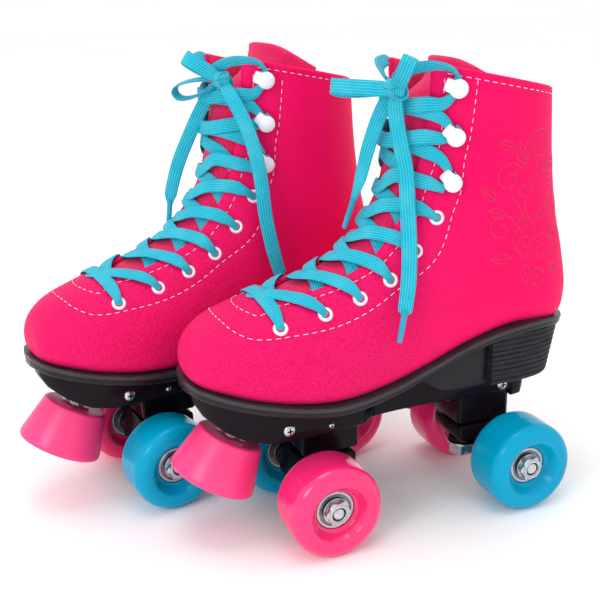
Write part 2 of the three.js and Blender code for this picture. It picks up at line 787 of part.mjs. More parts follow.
/** The knot with the free tails and the bow's loops growing out of it. */
function freeLace(foot) {
  const bow = BOWS[foot];
  const knot = new THREE.SphereGeometry(1, 8, 6);
  knot.scale(5, 7, 5.5);
  knot.translate(...bow.knot);
  let body = solid(knot);
  for (const route of [...bow.tails, ...bow.loops]) {
    body = body.add(tube(route.map((p) => at(...p)), LACE_RADIUS, 10, FREE_SIDES));
  }
  return foot === 'right' ? body.mirror([0, 1, 0]) : body;
}

// ---- One skate -------------------------------------------------------------

const LOOKS = {
  boot: { color: 0xf0125f, roughness: 0.6 },
  tongue: { color: 0xee2a68, roughness: 0.75 },
  insole: { color: 0xd8d4d2, roughness: 0.9 },
  sole: { color: 0x1b1a1c, roughness: 0.6 },
  plate: { color: 0x121113, roughness: 0.25 },
  cushion: { color: 0x232224, roughness: 0.8 },
  steel: { color: 0xc4c6c9, roughness: 0.3, metalness: 1 },
  stop: { color: 0xff5590, roughness: 0.45 },
  pinkWheel: { color: 0xff2d78, roughness: 0.25 },
  blueWheel: { color: 0x06abcf, roughness: 0.25 },
  lace: { color: 0x2ec4de, roughness: 0.8 },
};

/** The pieces of a skate with its outer side toward +Y: [name, manifold, look]. */
function skatePieces(foot) {
  const pieces = [
    ['boot_upper', bootUpper(), 'boot'],
    ['tongue', tongue(), 'tongue'],
    ['insole', insole(), 'insole'],
    ['sole_unit', soleUnit(), 'sole'],
    ['chassis', chassis(), 'plate'],
    ['toe_stop', toeStop(), 'stop'],
    ['toe_stop_stem', toeStopStem(), 'steel'],
    ['lace_threaded', threadedLace(), 'lace'],
    ['lace_free_ends', freeLace(foot), 'lace'],
  ];
  for (const [end, turn, forward] of [['front', 0, 1], ['rear', Math.PI, -1]]) {
    pieces.push([`${end}_hanger`, turnedTruck(hanger(), turn), 'plate']);
    pieces.push([`${end}_axle`, turnedTruck(axle(), turn), 'steel']);
    pieces.push([`${end}_kingpin`, turnedTruck(kingpin(), turn), 'steel']);
    pieces.push([`${end}_cushion`, turnedTruck(cushion(), turn), 'cushion']);
    for (const [side, outward] of [['outer', 1], ['inner', -1]]) {
      const name = `${end}_${side}`;
      const place = (piece) => piece.translate([forward * AXLE_X, outward * WHEEL_Y, WHEEL_RADIUS]);
      const pink = (forward > 0) === (outward > 0);
      const nut = outward > 0 ? axleNut() : axleNut().rotate([0, 0, 180]);
      pieces.push([`${name}_wheel`, place(wheel()), pink ? 'pinkWheel' : 'blueWheel']);
      pieces.push([`${name}_bearings`, place(bearingSet()), 'steel']);
      pieces.push([`${name}_axle_nut`, place(nut), 'steel']);
    }
  }
  return pieces;
}

function skate(foot) {
  const group = new THREE.Group();
  for (const [name, manifold, look] of skatePieces(foot)) {
    const shape = foot === 'right' ? manifold.mirror([0, 1, 0]) : manifold;
    const mesh = new THREE.Mesh(geometryOf(shape), new THREE.MeshStandardMaterial(LOOKS[look]));
    mesh.name = `${foot}_${name}`;
    group.add(mesh);
  }
  return group;
}

const left = skate('left');
const right = skate('right');
right.position.set(RIGHT_SKATE.x, RIGHT_SKATE.y, 0);
right.rotation.z = RIGHT_SKATE.turn;

/** Moves the pair so that the middle of its floor plan, bows left out, is the origin. */
function centred(...skates) {
  const pair = new THREE.Group();
  pair.add(...skates);
  pair.updateMatrixWorld(true);
  const bounds = new THREE.Box3();
  pair.traverse((piece) => {
    if (piece.isMesh && !piece.name.endsWith('lace_free_ends')) bounds.expandByObject(piece, true);
  });
  const middle = bounds.getCenter(new THREE.Vector3());
  pair.position.set(-middle.x, -middle.y, -bounds.min.z);
  return pair;
}

export default centred(left, right);
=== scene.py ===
"""Looks for a pair of high quad roller skates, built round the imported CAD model.

Shapes are given in millimetres in a skate's own frame, as in the CAD: x = 0 midway
between its axles, toes toward +X, its outer side toward +Y, the floor at z = 0.
FRAMES takes them to the row frame in metres. The right skate is the mirror image.
"""

import math
from functools import lru_cache

import bmesh
import bpy
from mathutils import Matrix, Vector, kdtree


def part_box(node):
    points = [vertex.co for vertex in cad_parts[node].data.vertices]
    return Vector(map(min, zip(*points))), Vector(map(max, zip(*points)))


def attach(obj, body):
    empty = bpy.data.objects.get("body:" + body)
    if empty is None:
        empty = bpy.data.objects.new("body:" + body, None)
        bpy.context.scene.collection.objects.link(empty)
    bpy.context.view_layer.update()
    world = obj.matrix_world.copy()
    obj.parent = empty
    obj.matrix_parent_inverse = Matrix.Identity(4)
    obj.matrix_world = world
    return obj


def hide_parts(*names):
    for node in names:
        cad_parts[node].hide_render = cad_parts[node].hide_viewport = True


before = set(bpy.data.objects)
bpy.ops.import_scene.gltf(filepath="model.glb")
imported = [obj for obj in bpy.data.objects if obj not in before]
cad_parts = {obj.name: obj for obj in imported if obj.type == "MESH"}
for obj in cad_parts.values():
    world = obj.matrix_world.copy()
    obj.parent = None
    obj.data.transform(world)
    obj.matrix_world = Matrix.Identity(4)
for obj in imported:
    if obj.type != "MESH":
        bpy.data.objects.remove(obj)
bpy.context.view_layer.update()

# ---- Driving dimensions, as in the CAD ---------------------------------------

MM = 0.001
FEET = ("left", "right")
RIGHT_TURN = math.radians(9)

WHEEL_RADIUS = 27
WHEEL_HALF_WIDTH = 15.5
WHEEL_EDGE = 6.9
DISH_RADIUS = 17
AXLE_X = 62
WHEEL_Y = 38
BEARING_RADIUS = 11
BEARING_FACE = 8.3
AXLE_RADIUS = 4
AXLE_END = 51.8
KINGPIN_X = 45
KINGPIN_RADIUS = 4.7
PIVOT_BALL = Vector((59.5, 0, 50))

BOOT_WALL = 3.5
SOLE_THICKNESS = 5.5
HEEL_BOTTOM = 74
TOE_INSET = 3

TOE_STOP_TOP = Vector((104.9, 0, 60.7))
TOE_STOP_TILT = math.radians(28)
STEM_UP = Vector((-math.sin(TOE_STOP_TILT), 0, math.cos(TOE_STOP_TILT)))

LACE_WIDTH = 8.3
LACE_THICKNESS = 1.3

ROW_UP = (0, 0, 1)


def add_object(name, data):
    made = bpy.data.objects.new(name, data)
    bpy.context.scene.collection.objects.link(made)
    return made


def centre_of(node):
    low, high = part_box(node)
    return (low + high) / 2


def own_frame(foot):
    """From a skate's own frame in millimetres to the row frame in metres."""
    turn = Matrix.Identity(4)
    if foot == "right":
        turn = Matrix.Rotation(RIGHT_TURN, 4, "Z") @ Matrix.Diagonal((1, -1, 1, 1))
    to_axle = Matrix.Translation((-AXLE_X, 0, -WHEEL_RADIUS))
    return Matrix.Translation(centre_of(f"{foot}_front_axle")) @ turn @ Matrix.Scale(MM, 4) @ to_axle


FRAMES = {foot: own_frame(foot) for foot in FEET}

# ---- Camera ------------------------------------------------------------------

CAMERA_PLACE = Vector((250.6, 472.5, 302.3))  # in the left skate's frame
CAMERA_AZIMUTH = math.radians(68.19)  # from +X toward +Y
CAMERA_ELEVATION = math.radians(18.31)
CAMERA_ROLL = math.radians(-1.27)
LENS_MM = 58.16


def make_camera():
    data = bpy.data.cameras.new("camera")
    data.lens = LENS_MM
    camera = add_object("camera", data)
    flat = math.cos(CAMERA_ELEVATION)
    ahead, aside = math.cos(CAMERA_AZIMUTH) * flat, math.sin(CAMERA_AZIMUTH) * flat
    back = Vector((ahead, aside, math.sin(CAMERA_ELEVATION)))
    level = Vector(ROW_UP).cross(back).normalized()
    upright = back.cross(level)
    right = math.cos(CAMERA_ROLL) * level + math.sin(CAMERA_ROLL) * upright
    up = back.cross(right)
    place = Matrix.Translation(FRAMES["left"] @ CAMERA_PLACE)
    camera.matrix_world = place @ Matrix((right, up, back)).transposed().to_4x4()
    bpy.context.scene.camera = camera


make_camera()

# ---- Materials ---------------------------------------------------------------


def rgb(red, green, blue):
    """A linear colour from display values of 0 to 255."""

    def linear(value):
        share = value / 255
        return share / 12.92 if share <= 0.04045 else ((share + 0.055) / 1.055) ** 2.4

    return (linear(red), linear(green), linear(blue), 1.0)


class Paint:
    """A principled material, with short calls for the nodes that feed it."""

    def __init__(self, name, **values):
        self.material = bpy.data.materials.new(name)
        self.material.use_nodes = True
        self.tree = self.material.node_tree
        self.shader = self.tree.nodes["Principled BSDF"]
        for key, value in values.items():
            self.shader.inputs[key.replace("_", " ")].default_value = value
        self.space = self.node("ShaderNodeTexCoord").outputs["Object"]
        self.normal = None

    def node(self, kind, inputs=None, **settings):
        made = self.tree.nodes.new(kind)
        for key, value in settings.items():
            setattr(made, key, value)
        for key, value in (inputs or {}).items():
            self.feed(made.inputs[key], value)
        return made

    def feed(self, socket, value):
        if isinstance(value, bpy.types.NodeSocket):
            self.tree.links.new(value, socket)
        else:
            socket.default_value = value

    def noise(self, size_mm, detail, stretch=(1, 1, 1)):
        """Soft noise about 0.5, with blotches of about size_mm."""
        space = self.node("ShaderNodeMapping", {"Vector": self.space, "Scale": stretch}).outputs[0]
        inputs = {"Vector": space, "Scale": 1 / (size_mm * MM), "Detail": detail}
        return self.node("ShaderNodeTexNoise", inputs).outputs[0]

    def cells(self, size_mm):
        """Distance within cells of about size_mm."""
        inputs = {"Vector": self.space, "Scale": 1 / (size_mm * MM)}
        return self.node("ShaderNodeTexVoronoi", inputs).outputs["Distance"]

    def sums(self, operation, a, b=0.0):
        return self.node("ShaderNodeMath", {0: a, 1: b}, operation=operation).outputs[0]

    def span(self, value, low, high, to_low=0.0, to_high=1.0):
        inputs = {"Value": value, "From Min": low, "From Max": high, "To Min": to_low, "To Max": to_high}
        return self.node("ShaderNodeMapRange", inputs).outputs[0]

    def mix(self, share, a, b):
        return self.node("ShaderNodeMix", {0: share, 6: a, 7: b}, data_type="RGBA").outputs[2]

    def attribute(self, name):
        return self.node("ShaderNodeAttribute", attribute_name=name)

    def relief(self, height, depth_mm, strength):
        """Adds a bump of that depth on top of the ones before."""
        inputs = {"Height": height, "Distance": depth_mm * MM, "Strength": strength}
        if self.normal is not None:
            inputs["Normal"] = self.normal
        self.normal = self.node("ShaderNodeBump", inputs).outputs[0]

    def done(self, color, wear=None, roughness=(), low=0.3, high=0.7):
        """Joins up the shader; the roughness follows wear as it goes from low to high."""
        self.feed(self.shader.inputs["Base Color"], color)
        if wear is not None:
            self.feed(self.shader.inputs["Roughness"], self.span(wear, low, high, *roughness))
        if self.normal is not None:
            self.feed(self.shader.inputs["Normal"], self.normal)
        return self.material


def leather(name, front, back, dark_tone_and_seam_shade):
    """Coated leather: pebbled at the front, smoother and deeper in colour at the back, with painted shade
    in its seams' dents.
    """
    paint = Paint(name, Specular_IOR_Level=0.12, Sheen_Weight=0.02)
    vamp = paint.attribute("vamp").outputs["Fac"]
    seam = paint.attribute("seam").outputs["Fac"]
    pebble = paint.cells(1.25)
    fine = paint.noise(0.7, 2)
    blotch = paint.noise(26, 2)
    color = paint.mix(vamp, back, front)
    grain = paint.span(paint.sums("ADD", pebble, fine), 0.55, 1.2, 0.0, 1.0)
    color = paint.mix(paint.sums("MULTIPLY", grain, paint.span(vamp, 0, 1, 0.12, 0.6)), color, dark_tone_and_seam_shade)
    color = paint.mix(paint.span(blotch, 0.35, 0.7, 0.0, 0.12), color, dark_tone_and_seam_shade)
    # Painted shade: darker along the seams, in the dents the seam mask makes below.
    color = paint.mix(paint.sums("MULTIPLY", seam, 0.22), color, dark_tone_and_seam_shade)
    paint.relief(paint.noise(9, 1), 0.5, 0.25)
    paint.relief(paint.sums("MULTIPLY", pebble, paint.span(vamp, 0, 1, 0.35, 1)), 0.3, 0.8)
    paint.relief(fine, 0.12, 0.6)
    paint.relief(paint.sums("SUBTRACT", 1.0, seam), 0.6, 0.5)
    return paint.done(color, fine, (0.56, 0.7))


def woven(name, light, dark, thread_mm):
    """A plain weave that needs no texture coordinates of its own."""
    paint = Paint(name, Specular_IOR_Level=0.25, Sheen_Weight=0.12)
    cells = paint.cells(thread_mm)
    fine = paint.noise(thread_mm * 0.45, 2)
    color = paint.mix(paint.span(cells, 0.1, 0.7), light, dark)
    color = paint.mix(paint.span(paint.noise(18, 2), 0.35, 0.75, 0.0, 0.25), color, dark)
    paint.relief(cells, 0.25, 0.7)
    paint.relief(fine, 0.1, 0.5)
    return paint.done(color, fine, (0.72, 0.88))


RIB_PITCH = 1.5  # of the lace's ribs, across it
PICK_PITCH = 1.1  # of its weave, along it


def lace_fabric():
    """A flat tubular lace: fine ribs along it, woven in a shallow herringbone, with painted shade in the
    weave's grooves, painted highlight on its ribs and patches of painted highlight.
    """
    paint = Paint("lace_weave", Specular_IOR_Level=0.2, Sheen_Weight=0.1)
    strip = paint.attribute("strip").outputs["Vector"]
    parts = paint.node("ShaderNodeSeparateXYZ", {0: strip})
    along, across = parts.outputs[0], parts.outputs[1]
    zigzag = paint.sums("MULTIPLY", paint.sums("PINGPONG", along, 0.7), 0.5)
    slanted = paint.sums("ADD", across, zigzag)
    ribs = paint.sums("SINE", paint.sums("MULTIPLY", slanted, 2 * math.pi / RIB_PITCH))
    cross = paint.sums("SINE", paint.sums("MULTIPLY", along, 2 * math.pi / PICK_PITCH))
    weave = paint.span(paint.sums("ADD", ribs, paint.sums("MULTIPLY", cross, 0.45)), -1.45, 1.45)
    painted_highlight_patches = paint.span(paint.noise(12, 2), 0.42, 0.68, 0.0, 0.18)
    # Painted shade in the weave's grooves, painted highlight on its ribs' crowns.
    color = paint.mix(weave, rgb(0, 146, 182), rgb(52, 208, 226))
    # Random patches of painted highlight on top.
    color = paint.mix(painted_highlight_patches, color, rgb(112, 222, 232))
    paint.relief(weave, 0.4, 0.9)
    paint.relief(paint.noise(0.35, 2), 0.08, 0.6)
    return paint.done(color, weave, (0.66, 0.8), 0, 1)


def rubber(name, light, dark, roughness, shine, scuff_mm=14):
    paint = Paint(name, Specular_IOR_Level=shine)
    scuffs = paint.noise(scuff_mm, 3)
    fine = paint.noise(1.0, 2)
    color = paint.mix(paint.span(scuffs, 0.35, 0.7), light, dark)
    paint.relief(fine, 0.04, 0.35)
    return paint.done(color, scuffs, roughness)


def cast_plastic(name, light, dark, roughness, shine=0.3, coat=0.2, swirl_mm=22):
    """Glossy moulded plastic with a faint swirl of its pigment and soft handling marks."""
    paint = Paint(name, Specular_IOR_Level=shine, Coat_Weight=coat, Coat_Roughness=0.1)
    swirl = paint.noise(swirl_mm, 3)
    fine = paint.noise(2.5, 2)
    color = paint.mix(paint.span(swirl, 0.35, 0.7), light, dark)
    paint.relief(paint.noise(9, 1), 0.1, 0.12)
    return paint.done(color, fine, roughness)


def plated_steel(name, color, dull, roughness):
    paint = Paint(name, Metallic=1.0)
    streak = paint.noise(1.1, 3, (1, 6, 1))
    spots = paint.noise(3.5, 3)
    paint.relief(streak, 0.02, 0.5)
    return paint.done(paint.mix(paint.span(spots, 0.4, 0.75), color, dull), streak, roughness)


def enamel(name, color, shade):
    paint = Paint(name, Roughness=0.22, Specular_IOR_Level=0.5, Coat_Weight=0.6, Coat_Roughness=0.08)
    paint.relief(paint.noise(2.5, 2), 0.03, 0.3)
    return paint.done(paint.mix(paint.span(paint.noise(4, 2), 0.4, 0.8, 0, 0.5), color, shade))


def twisted_thread(name, light, dark):
    paint = Paint(name, Roughness=0.7, Sheen_Weight=0.2)
    turns = paint.noise(0.5, 2, (1, 1, 2))
    paint.relief(turns, 0.12, 0.8)
    return paint.done(paint.mix(paint.span(turns, 0.35, 0.65), light, dark))


def heel_stack():
    """The charcoal heel: grooves are in its shape; its colour has faint layered bands and random paler
    scuffs.
    """
    paint = Paint("heel_stack", Specular_IOR_Level=0.22)
    layers = paint.noise(1.0, 3, (0.06, 0.06, 1))
    scuffs = paint.noise(5, 4)
    color = paint.mix(paint.span(layers, 0.35, 0.65), rgb(20, 19, 23), rgb(44, 43, 49))
    color = paint.mix(paint.span(scuffs, 0.55, 0.8, 0, 0.25), color, rgb(74, 74, 80))
    paint.relief(layers, 0.25, 0.6)
    paint.relief(paint.noise(0.6, 2), 0.06, 0.5)
    return paint.done(color, scuffs, (0.5, 0.68))


GLOSS = (0.16, 0.24)  # the wheels' roughness

LOOKS = {
    "leather": leather("boot_leather", rgb(248, 22, 112), rgb(248, 0, 98), rgb(196, 0, 74)),
    "trim": leather("backstay_leather", rgb(236, 6, 92), rgb(222, 0, 86), rgb(170, 0, 62)),
    "lining": woven("lining_cloth", rgb(240, 60, 118), rgb(206, 30, 92), 0.9),
    "tongue": woven("tongue_cloth", rgb(246, 40, 108), rgb(214, 16, 84), 1.0),
    "footbed": woven("footbed_felt", rgb(226, 214, 214), rgb(180, 160, 164), 0.7),
    "thread": twisted_thread("white_thread", rgb(255, 226, 236), rgb(240, 176, 200)),
    "pink_thread": twisted_thread("pink_thread", rgb(226, 0, 92), rgb(184, 0, 74)),
    "lace": lace_fabric(),
    "aglet": cast_plastic("aglet_film", rgb(24, 168, 196), rgb(14, 140, 170), (0.2, 0.32)),
    "enamel": enamel("white_enamel", rgb(236, 236, 242), rgb(214, 216, 228)),
    "sole": rubber("sole_rubber", rgb(24, 18, 24), rgb(32, 27, 33), (0.22, 0.4), 0.25),
    "welt": rubber("welt_rubber", rgb(42, 40, 46), rgb(54, 52, 58), (0.3, 0.45), 0.4),
    "heel": heel_stack(),
    "plate": cast_plastic("plate_plastic", rgb(18, 11, 18), rgb(24, 17, 24), (0.14, 0.24), 0.08, 0.05),
    "truck": cast_plastic("truck_plastic", rgb(18, 11, 18), rgb(26, 19, 26), (0.2, 0.32), 0.07, 0.04),
    "cushion": rubber("cushion_rubber", rgb(20, 19, 21), rgb(28, 27, 30), (0.6, 0.75), 0.1, 4),
    "steel": plated_steel("zinc_steel", (0.62, 0.64, 0.67, 1), (0.42, 0.44, 0.46, 1), (0.2, 0.36)),
    "bearing": plated_steel("bearing_steel", (0.5, 0.52, 0.55, 1), (0.34, 0.35, 0.38, 1), (0.16, 0.28)),
    "shield": plated_steel("bearing_shield", (0.24, 0.25, 0.27, 1), (0.15, 0.16, 0.17, 1), (0.3, 0.45)),
    # Near-black painted shade, for inside the screws' cross recesses and the eyelets' holes.
    "recess": rubber("painted_recess_shade", rgb(10, 10, 11), rgb(16, 16, 17), (0.6, 0.8), 0.1, 3),
    "stop": rubber("toe_stop_rubber", rgb(252, 62, 132), rgb(250, 50, 122), (0.3, 0.42), 0.5, 30),
    "pink_wheel": cast_plastic("pink_wheel", rgb(252, 44, 122), rgb(250, 34, 114), GLOSS, 0.45, 0.3, 30),
    "blue_wheel": cast_plastic("blue_wheel", rgb(0, 164, 204), rgb(0, 156, 196), GLOSS, 0.12, 0.08, 30),
}

# ---- Building pieces ---------------------------------------------------------


WELD = 0.004  # points nearer than this become one


class Shape:
    """Faces gathered for one piece, in the skate's own frame."""

    def __init__(self):
        self.verts = []
        self.faces = []
        self.slots = []
        self.values = {}

    def grid(self, rows, slot=0, around=False, ends=False, values=None):
        """Quads between rows of points. values gives each point's attributes, row by row."""
        first = len(self.verts)
        width = len(rows[0])
        for row in rows:
            self.verts.extend(row)
        for key, table in (values or {}).items():
            store = self.values.setdefault(key, {})
            for i, row in enumerate(table):
                for j, value in enumerate(row):
                    store[first + i * width + j] = value
        for i in range(len(rows) - 1):
            for j in range(width if around else width - 1):
                a = first + i * width + j
                b = first + i * width + (j + 1) % width
                self.face((a, b, b + width, a + width), slot)
        if ends:
            self.face(tuple(range(first, first + width)), slot)
            last = first + (len(rows) - 1) * width
            self.face(tuple(range(last, last + width)), slot)

    def tube(self, rows, slot=0, values=None):
        """Rows closed round on themselves, with a face over each end."""
        self.grid(rows, slot, around=True, ends=True, values=values)

    def fan(self, row, tip, slot):
        first = len(self.verts)
        self.verts.extend([*row, tip])
        hub = first + len(row)
        for j in range(len(row)):
            self.face((hub, first + j, first + (j + 1) % len(row)), slot)

    def face(self, indices, slot):
        self.faces.append(indices)
        self.slots.append(slot)


def make(foot, name, body, shape, looks, stands_for=(), sharp=35):
    """A piece from a shape, placed on its foot and riding on its body."""
    to_row = FRAMES[foot]
    bm = bmesh.new()
    layers = {}
    for key in shape.values:
        kind = bm.verts.layers.float_vector if key == "strip" else bm.verts.layers.float
        layers[key] = kind.new(key)
    made = [bm.verts.new(to_row @ Vector(point)) for point in shape.verts]
    for key, table in shape.values.items():
        for index, value in table.items():
            made[index][layers[key]] = value
    for indices, material in zip(shape.faces, shape.slots):
        try:
            face = bm.faces.new([made[i] for i in indices])
        except ValueError:  # that face is there already
            continue
        face.material_index = material
        face.smooth = True
    bmesh.ops.remove_doubles(bm, verts=bm.verts, dist=WELD * MM)
    bmesh.ops.recalc_face_normals(bm, faces=bm.faces)
    mesh = bpy.data.meshes.new(f"{foot}_{name}")
    bm.to_mesh(mesh)
    bm.free()
    mesh.set_sharp_from_angle(angle=math.radians(sharp))
    for look in looks:
        mesh.materials.append(LOOKS[look])
    piece = add_object(f"{foot}_{name}", mesh)
    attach(piece, f"{foot}_{body}")
    if stands_for:
        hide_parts(*[f"{foot}_{node}" for node in stands_for])
    return piece


def fillet(points, radii, steps=4):
    """An open outline with its inner corners rounded. radii is one number or one a point."""
    points = [Vector(p) for p in points]
    if isinstance(radii, (int, float)):
        radii = [radii] * len(points)
    made = [points[0]]
    for i in range(1, len(points) - 1):
        here, radius = points[i], radii[i]
        before, after = points[i - 1] - here, points[i + 1] - here
        cut = min(radius, before.length * 0.49, after.length * 0.49)
        if cut < 0.02:
            made.append(here)
            continue
        a = here + before.normalized() * cut
        b = here + after.normalized() * cut
        for k in range(steps + 1):
            f = k / steps
            made.append((1 - f) ** 2 * a + 2 * f * (1 - f) * here + f * f * b)
    made.append(points[-1])
    return made


def fillet_loop(points, radius, steps=3):
    """A closed outline with every corner rounded."""
    points = [Vector(p) for p in points]
    middle = (points[0] + points[-1]) / 2
    return fillet([middle, *points, middle], radius, steps)[:-1]


def axes_about(axis):
    axis = Vector(axis).normalized()
    side = axis.cross(Vector((1, 0, 0)) if abs(axis.x) < 0.9 else Vector((0, 0, 1))).normalized()
    return axis, side, axis.cross(side)


def round_angles(count):
    """Angles spaced evenly round a full turn."""
    return [2 * math.pi * k / count for k in range(count)]


def oval(centre, across, half_width, upward, half_height, count):
    """A closed oval of points round a centre."""
    return [
        centre + across * (half_width * math.cos(a)) + upward * (half_height * math.sin(a))
        for a in round_angles(count)
    ]


def heading_at(points, i):
    """From the point before to the point after, on a line of points."""
    return points[min(i + 1, len(points) - 1)] - points[max(i - 1, 0)]


def spin(shape, profile, origin, axis, segments, slot=0, across_flats=None):
    """A [radius, height] profile turned about an axis; across_flats cuts it to a hexagon."""
    axis, side, other = axes_about(axis)
    rows = []
    for radius, height in profile:
        row = []
        for angle in round_angles(segments):
            reach = radius
            if across_flats:
                from_flat = (angle + math.pi / 6) % (math.pi / 3) - math.pi / 6
                reach = min(radius, across_flats / 2 / math.cos(from_flat))
            outward = side * math.cos(angle) + other * math.sin(angle)
            row.append(Vector(origin) + axis * height + outward * reach)
        rows.append(row)
    shape.grid(rows, slot, around=True)


def hex_profile(across, low, high, bore):
    """Half the section of a nut or bolt head, with its corners taken off."""
    corner = across / math.sqrt(3)
    flat = across / 2
    start = [(bore, low), (flat * 0.98, low), (corner, low + 0.35), (corner, high - 0.55)]
    return [*start, (flat * 0.96, high), (bore + 0.3, high), (bore, high - 0.3), (bore, low)]


def thread_profile(radius, low, high, pitch, depth):
    """The outline of a screw thread, drawn as rings."""
    made = []
    turns = max(1, round((high - low) / pitch))
    for i in range(turns):
        at = low + (high - low) * i / turns
        step = (high - low) / turns
        made += [(radius - depth, at), (radius, at + 0.4 * step), (radius, at + 0.6 * step)]
    return [*made, (radius - depth, high)]


def inset(outline, amount):
    """A closed 2D outline moved inward."""
    area = sum(a.x * b.y - b.x * a.y for a, b in zip(outline, [*outline[1:], outline[0]]))
    sign = 1 if area > 0 else -1
    made = []
    for i, here in enumerate(outline):
        before = (here - outline[i - 1]).normalized()
        after = (outline[(i + 1) % len(outline)] - here).normalized()
        normal = Vector((-(before.y + after.y), before.x + after.x)) * sign
        if normal.length < 1e-6:
            made.append(here.copy())
            continue
        normal.normalize()
        lean_in = max(0.4, normal.dot(Vector((-before.y, before.x)) * sign))
        made.append(here + normal * (amount / lean_in))
    return made


def bevel_rows(half, edge):
    """(distance along, inset) pairs that round both rims of a prism."""
    steps = 3
    rim = []
    for k in range(steps + 1):
        angle = math.pi / 2 * k / steps
        rim.append((half - edge * (1 - math.sin(angle)), edge * (1 - math.cos(angle))))
    return [(-d, i) for d, i in reversed(rim)] + rim


def side_prism(shape, outline, half_width, edge, corner, middle=0.0):
    """A side outline of [x, z] given width across the skate, with every edge rounded."""
    outline = fillet_loop(outline, corner)
    rows = []
    for across, drop in bevel_rows(half_width, edge):
        rows.append([Vector((p.x, middle + across, p.y)) for p in inset(outline, drop)])
    shape.tube(rows)


def round_box(shape, low, high, edge):
    """A box between two corners with every edge rounded."""
    low, high = Vector(low), Vector(high)
    outline = [(low.x, low.z), (high.x, low.z), (high.x, high.z), (low.x, high.z)]
    side_prism(shape, outline, (high.y - low.y) / 2, edge, edge, (low.y + high.y) / 2)


def rounded_section(x, low, high, half, radius, centre=0.0, inward_low=0.0):
    """A closed section across the skate: a rectangle with rounded corners."""
    radius = min(radius, half * 0.8, (high - low) * 0.45)
    half_low = half - inward_low
    corners = [(-half, high), (half, high), (half_low, low), (-half_low, low)]
    return [Vector((x, centre + p.x, p.y)) for p in fillet_loop(corners, radius)]


# ---- The boot's surface, as in the CAD ---------------------------------------

# The boot's sections from the toe tip to the collar. Each row: x and z of its lowest point,
# x and z of its highest, half its width, how square it is below and above its widest
# level, and how far up that level is.
SECTIONS = [
    [129.5, 104, 129.5, 108, 5, 2.2, 2.2, 0.5], [128, 99.5, 128, 116, 15, 2.6, 2.2, 0.45],
    [123, 96, 122.5, 124, 23.5, 3, 2.2, 0.42], [113, 92.5, 112, 131, 31, 3.4, 2.2, 0.4],
    [97, 87.5, 95, 137, 36.5, 3.8, 2.2, 0.36], [75, 83, 72, 144, 39.5, 4, 2.1, 0.33],
    [50, 80.5, 48, 153, 39, 4, 2, 0.33], [24, 83, 30, 165, 36.5, 4, 2, 0.34],
    [-3, 89.5, 19, 180, 34.5, 4, 2, 0.36], [-31, 99, 11, 196, 34, 4, 2, 0.4],
    [-62, 106, 8, 212, 34, 4, 2.1, 0.44], [-94, 105, 6, 226, 35, 3.4, 2.1, 0.48],
    [-105, 118, 5, 236, 35.5, 2.6, 2.1, 0.5], [-103, 142, 5, 243, 36, 2.3, 2.1, 0.5],
    [-97, 168, 5, 248.5, 36.5, 2.2, 2.1, 0.5], [-92, 200, 5.5, 253, 37.5, 2.2, 2.1, 0.5],
    [-89, 240.5, 6, 261, 38, 2.2, 2.1, 0.5],
]
COLLAR = len(SECTIONS) - 1
THROAT_START = 4.45
# Half the width of the throat's opening by the place along the boot.
THROAT_HALF_GAP = [
    (THROAT_START, 13), (5, 16.5), (6.3, 19), (7.4, 20.3), (9, 20.5), (11, 21), (13, 22.5),
    (COLLAR, 25.5),
]
# Eyelets, then hooks: place along the boot and distance from its centreline.
EYELETS = [(4.54, 29), (5.57, 29.5), (6.48, 29), (7.48, 29), (8.53, 28.5), (9.64, 29)]
HOOKS = [(10.86, 29), (13, 29.5), (15.45, 32)]


def hermite(a, b, slope_a, slope_b, f):
    g = 1 - f
    return (1 + 2 * f) * g * g * a + f * g * g * slope_a + f * f * (3 - 2 * f) * b - f * f * g * slope_b


def smooth(table, x):
    """Smooth value at x in a table of (x, value) rows."""
    last = len(table) - 1
    if x <= table[0][0]:
        return table[0][1]
    if x >= table[last][0]:
        return table[last][1]
    i = next(k for k in range(last) if table[k + 1][0] > x)

    def slope(k):
        a, b = table[max(k - 1, 0)], table[min(k + 1, last)]
        return (b[1] - a[1]) / (b[0] - a[0])

    (x0, v0), (x1, v1) = table[i], table[i + 1]
    width = x1 - x0
    return hermite(v0, v1, slope(i) * width, slope(i + 1) * width, (x - x0) / width)


def straight(table, x):
    """Value at x on straight runs between (x, value) rows."""
    for (x0, v0), (x1, v1) in zip(table, table[1:]):
        if x <= x1:
            return v0 + (v1 - v0) * (max(x, x0) - x0) / (x1 - x0)
    return table[-1][1]


def smoothstep(x, low, high):
    f = min(max((x - low) / (high - low), 0), 1)
    return f * f * (3 - 2 * f)


def lean(x):
    return -TOE_INSET * smoothstep(x, 20, 120)


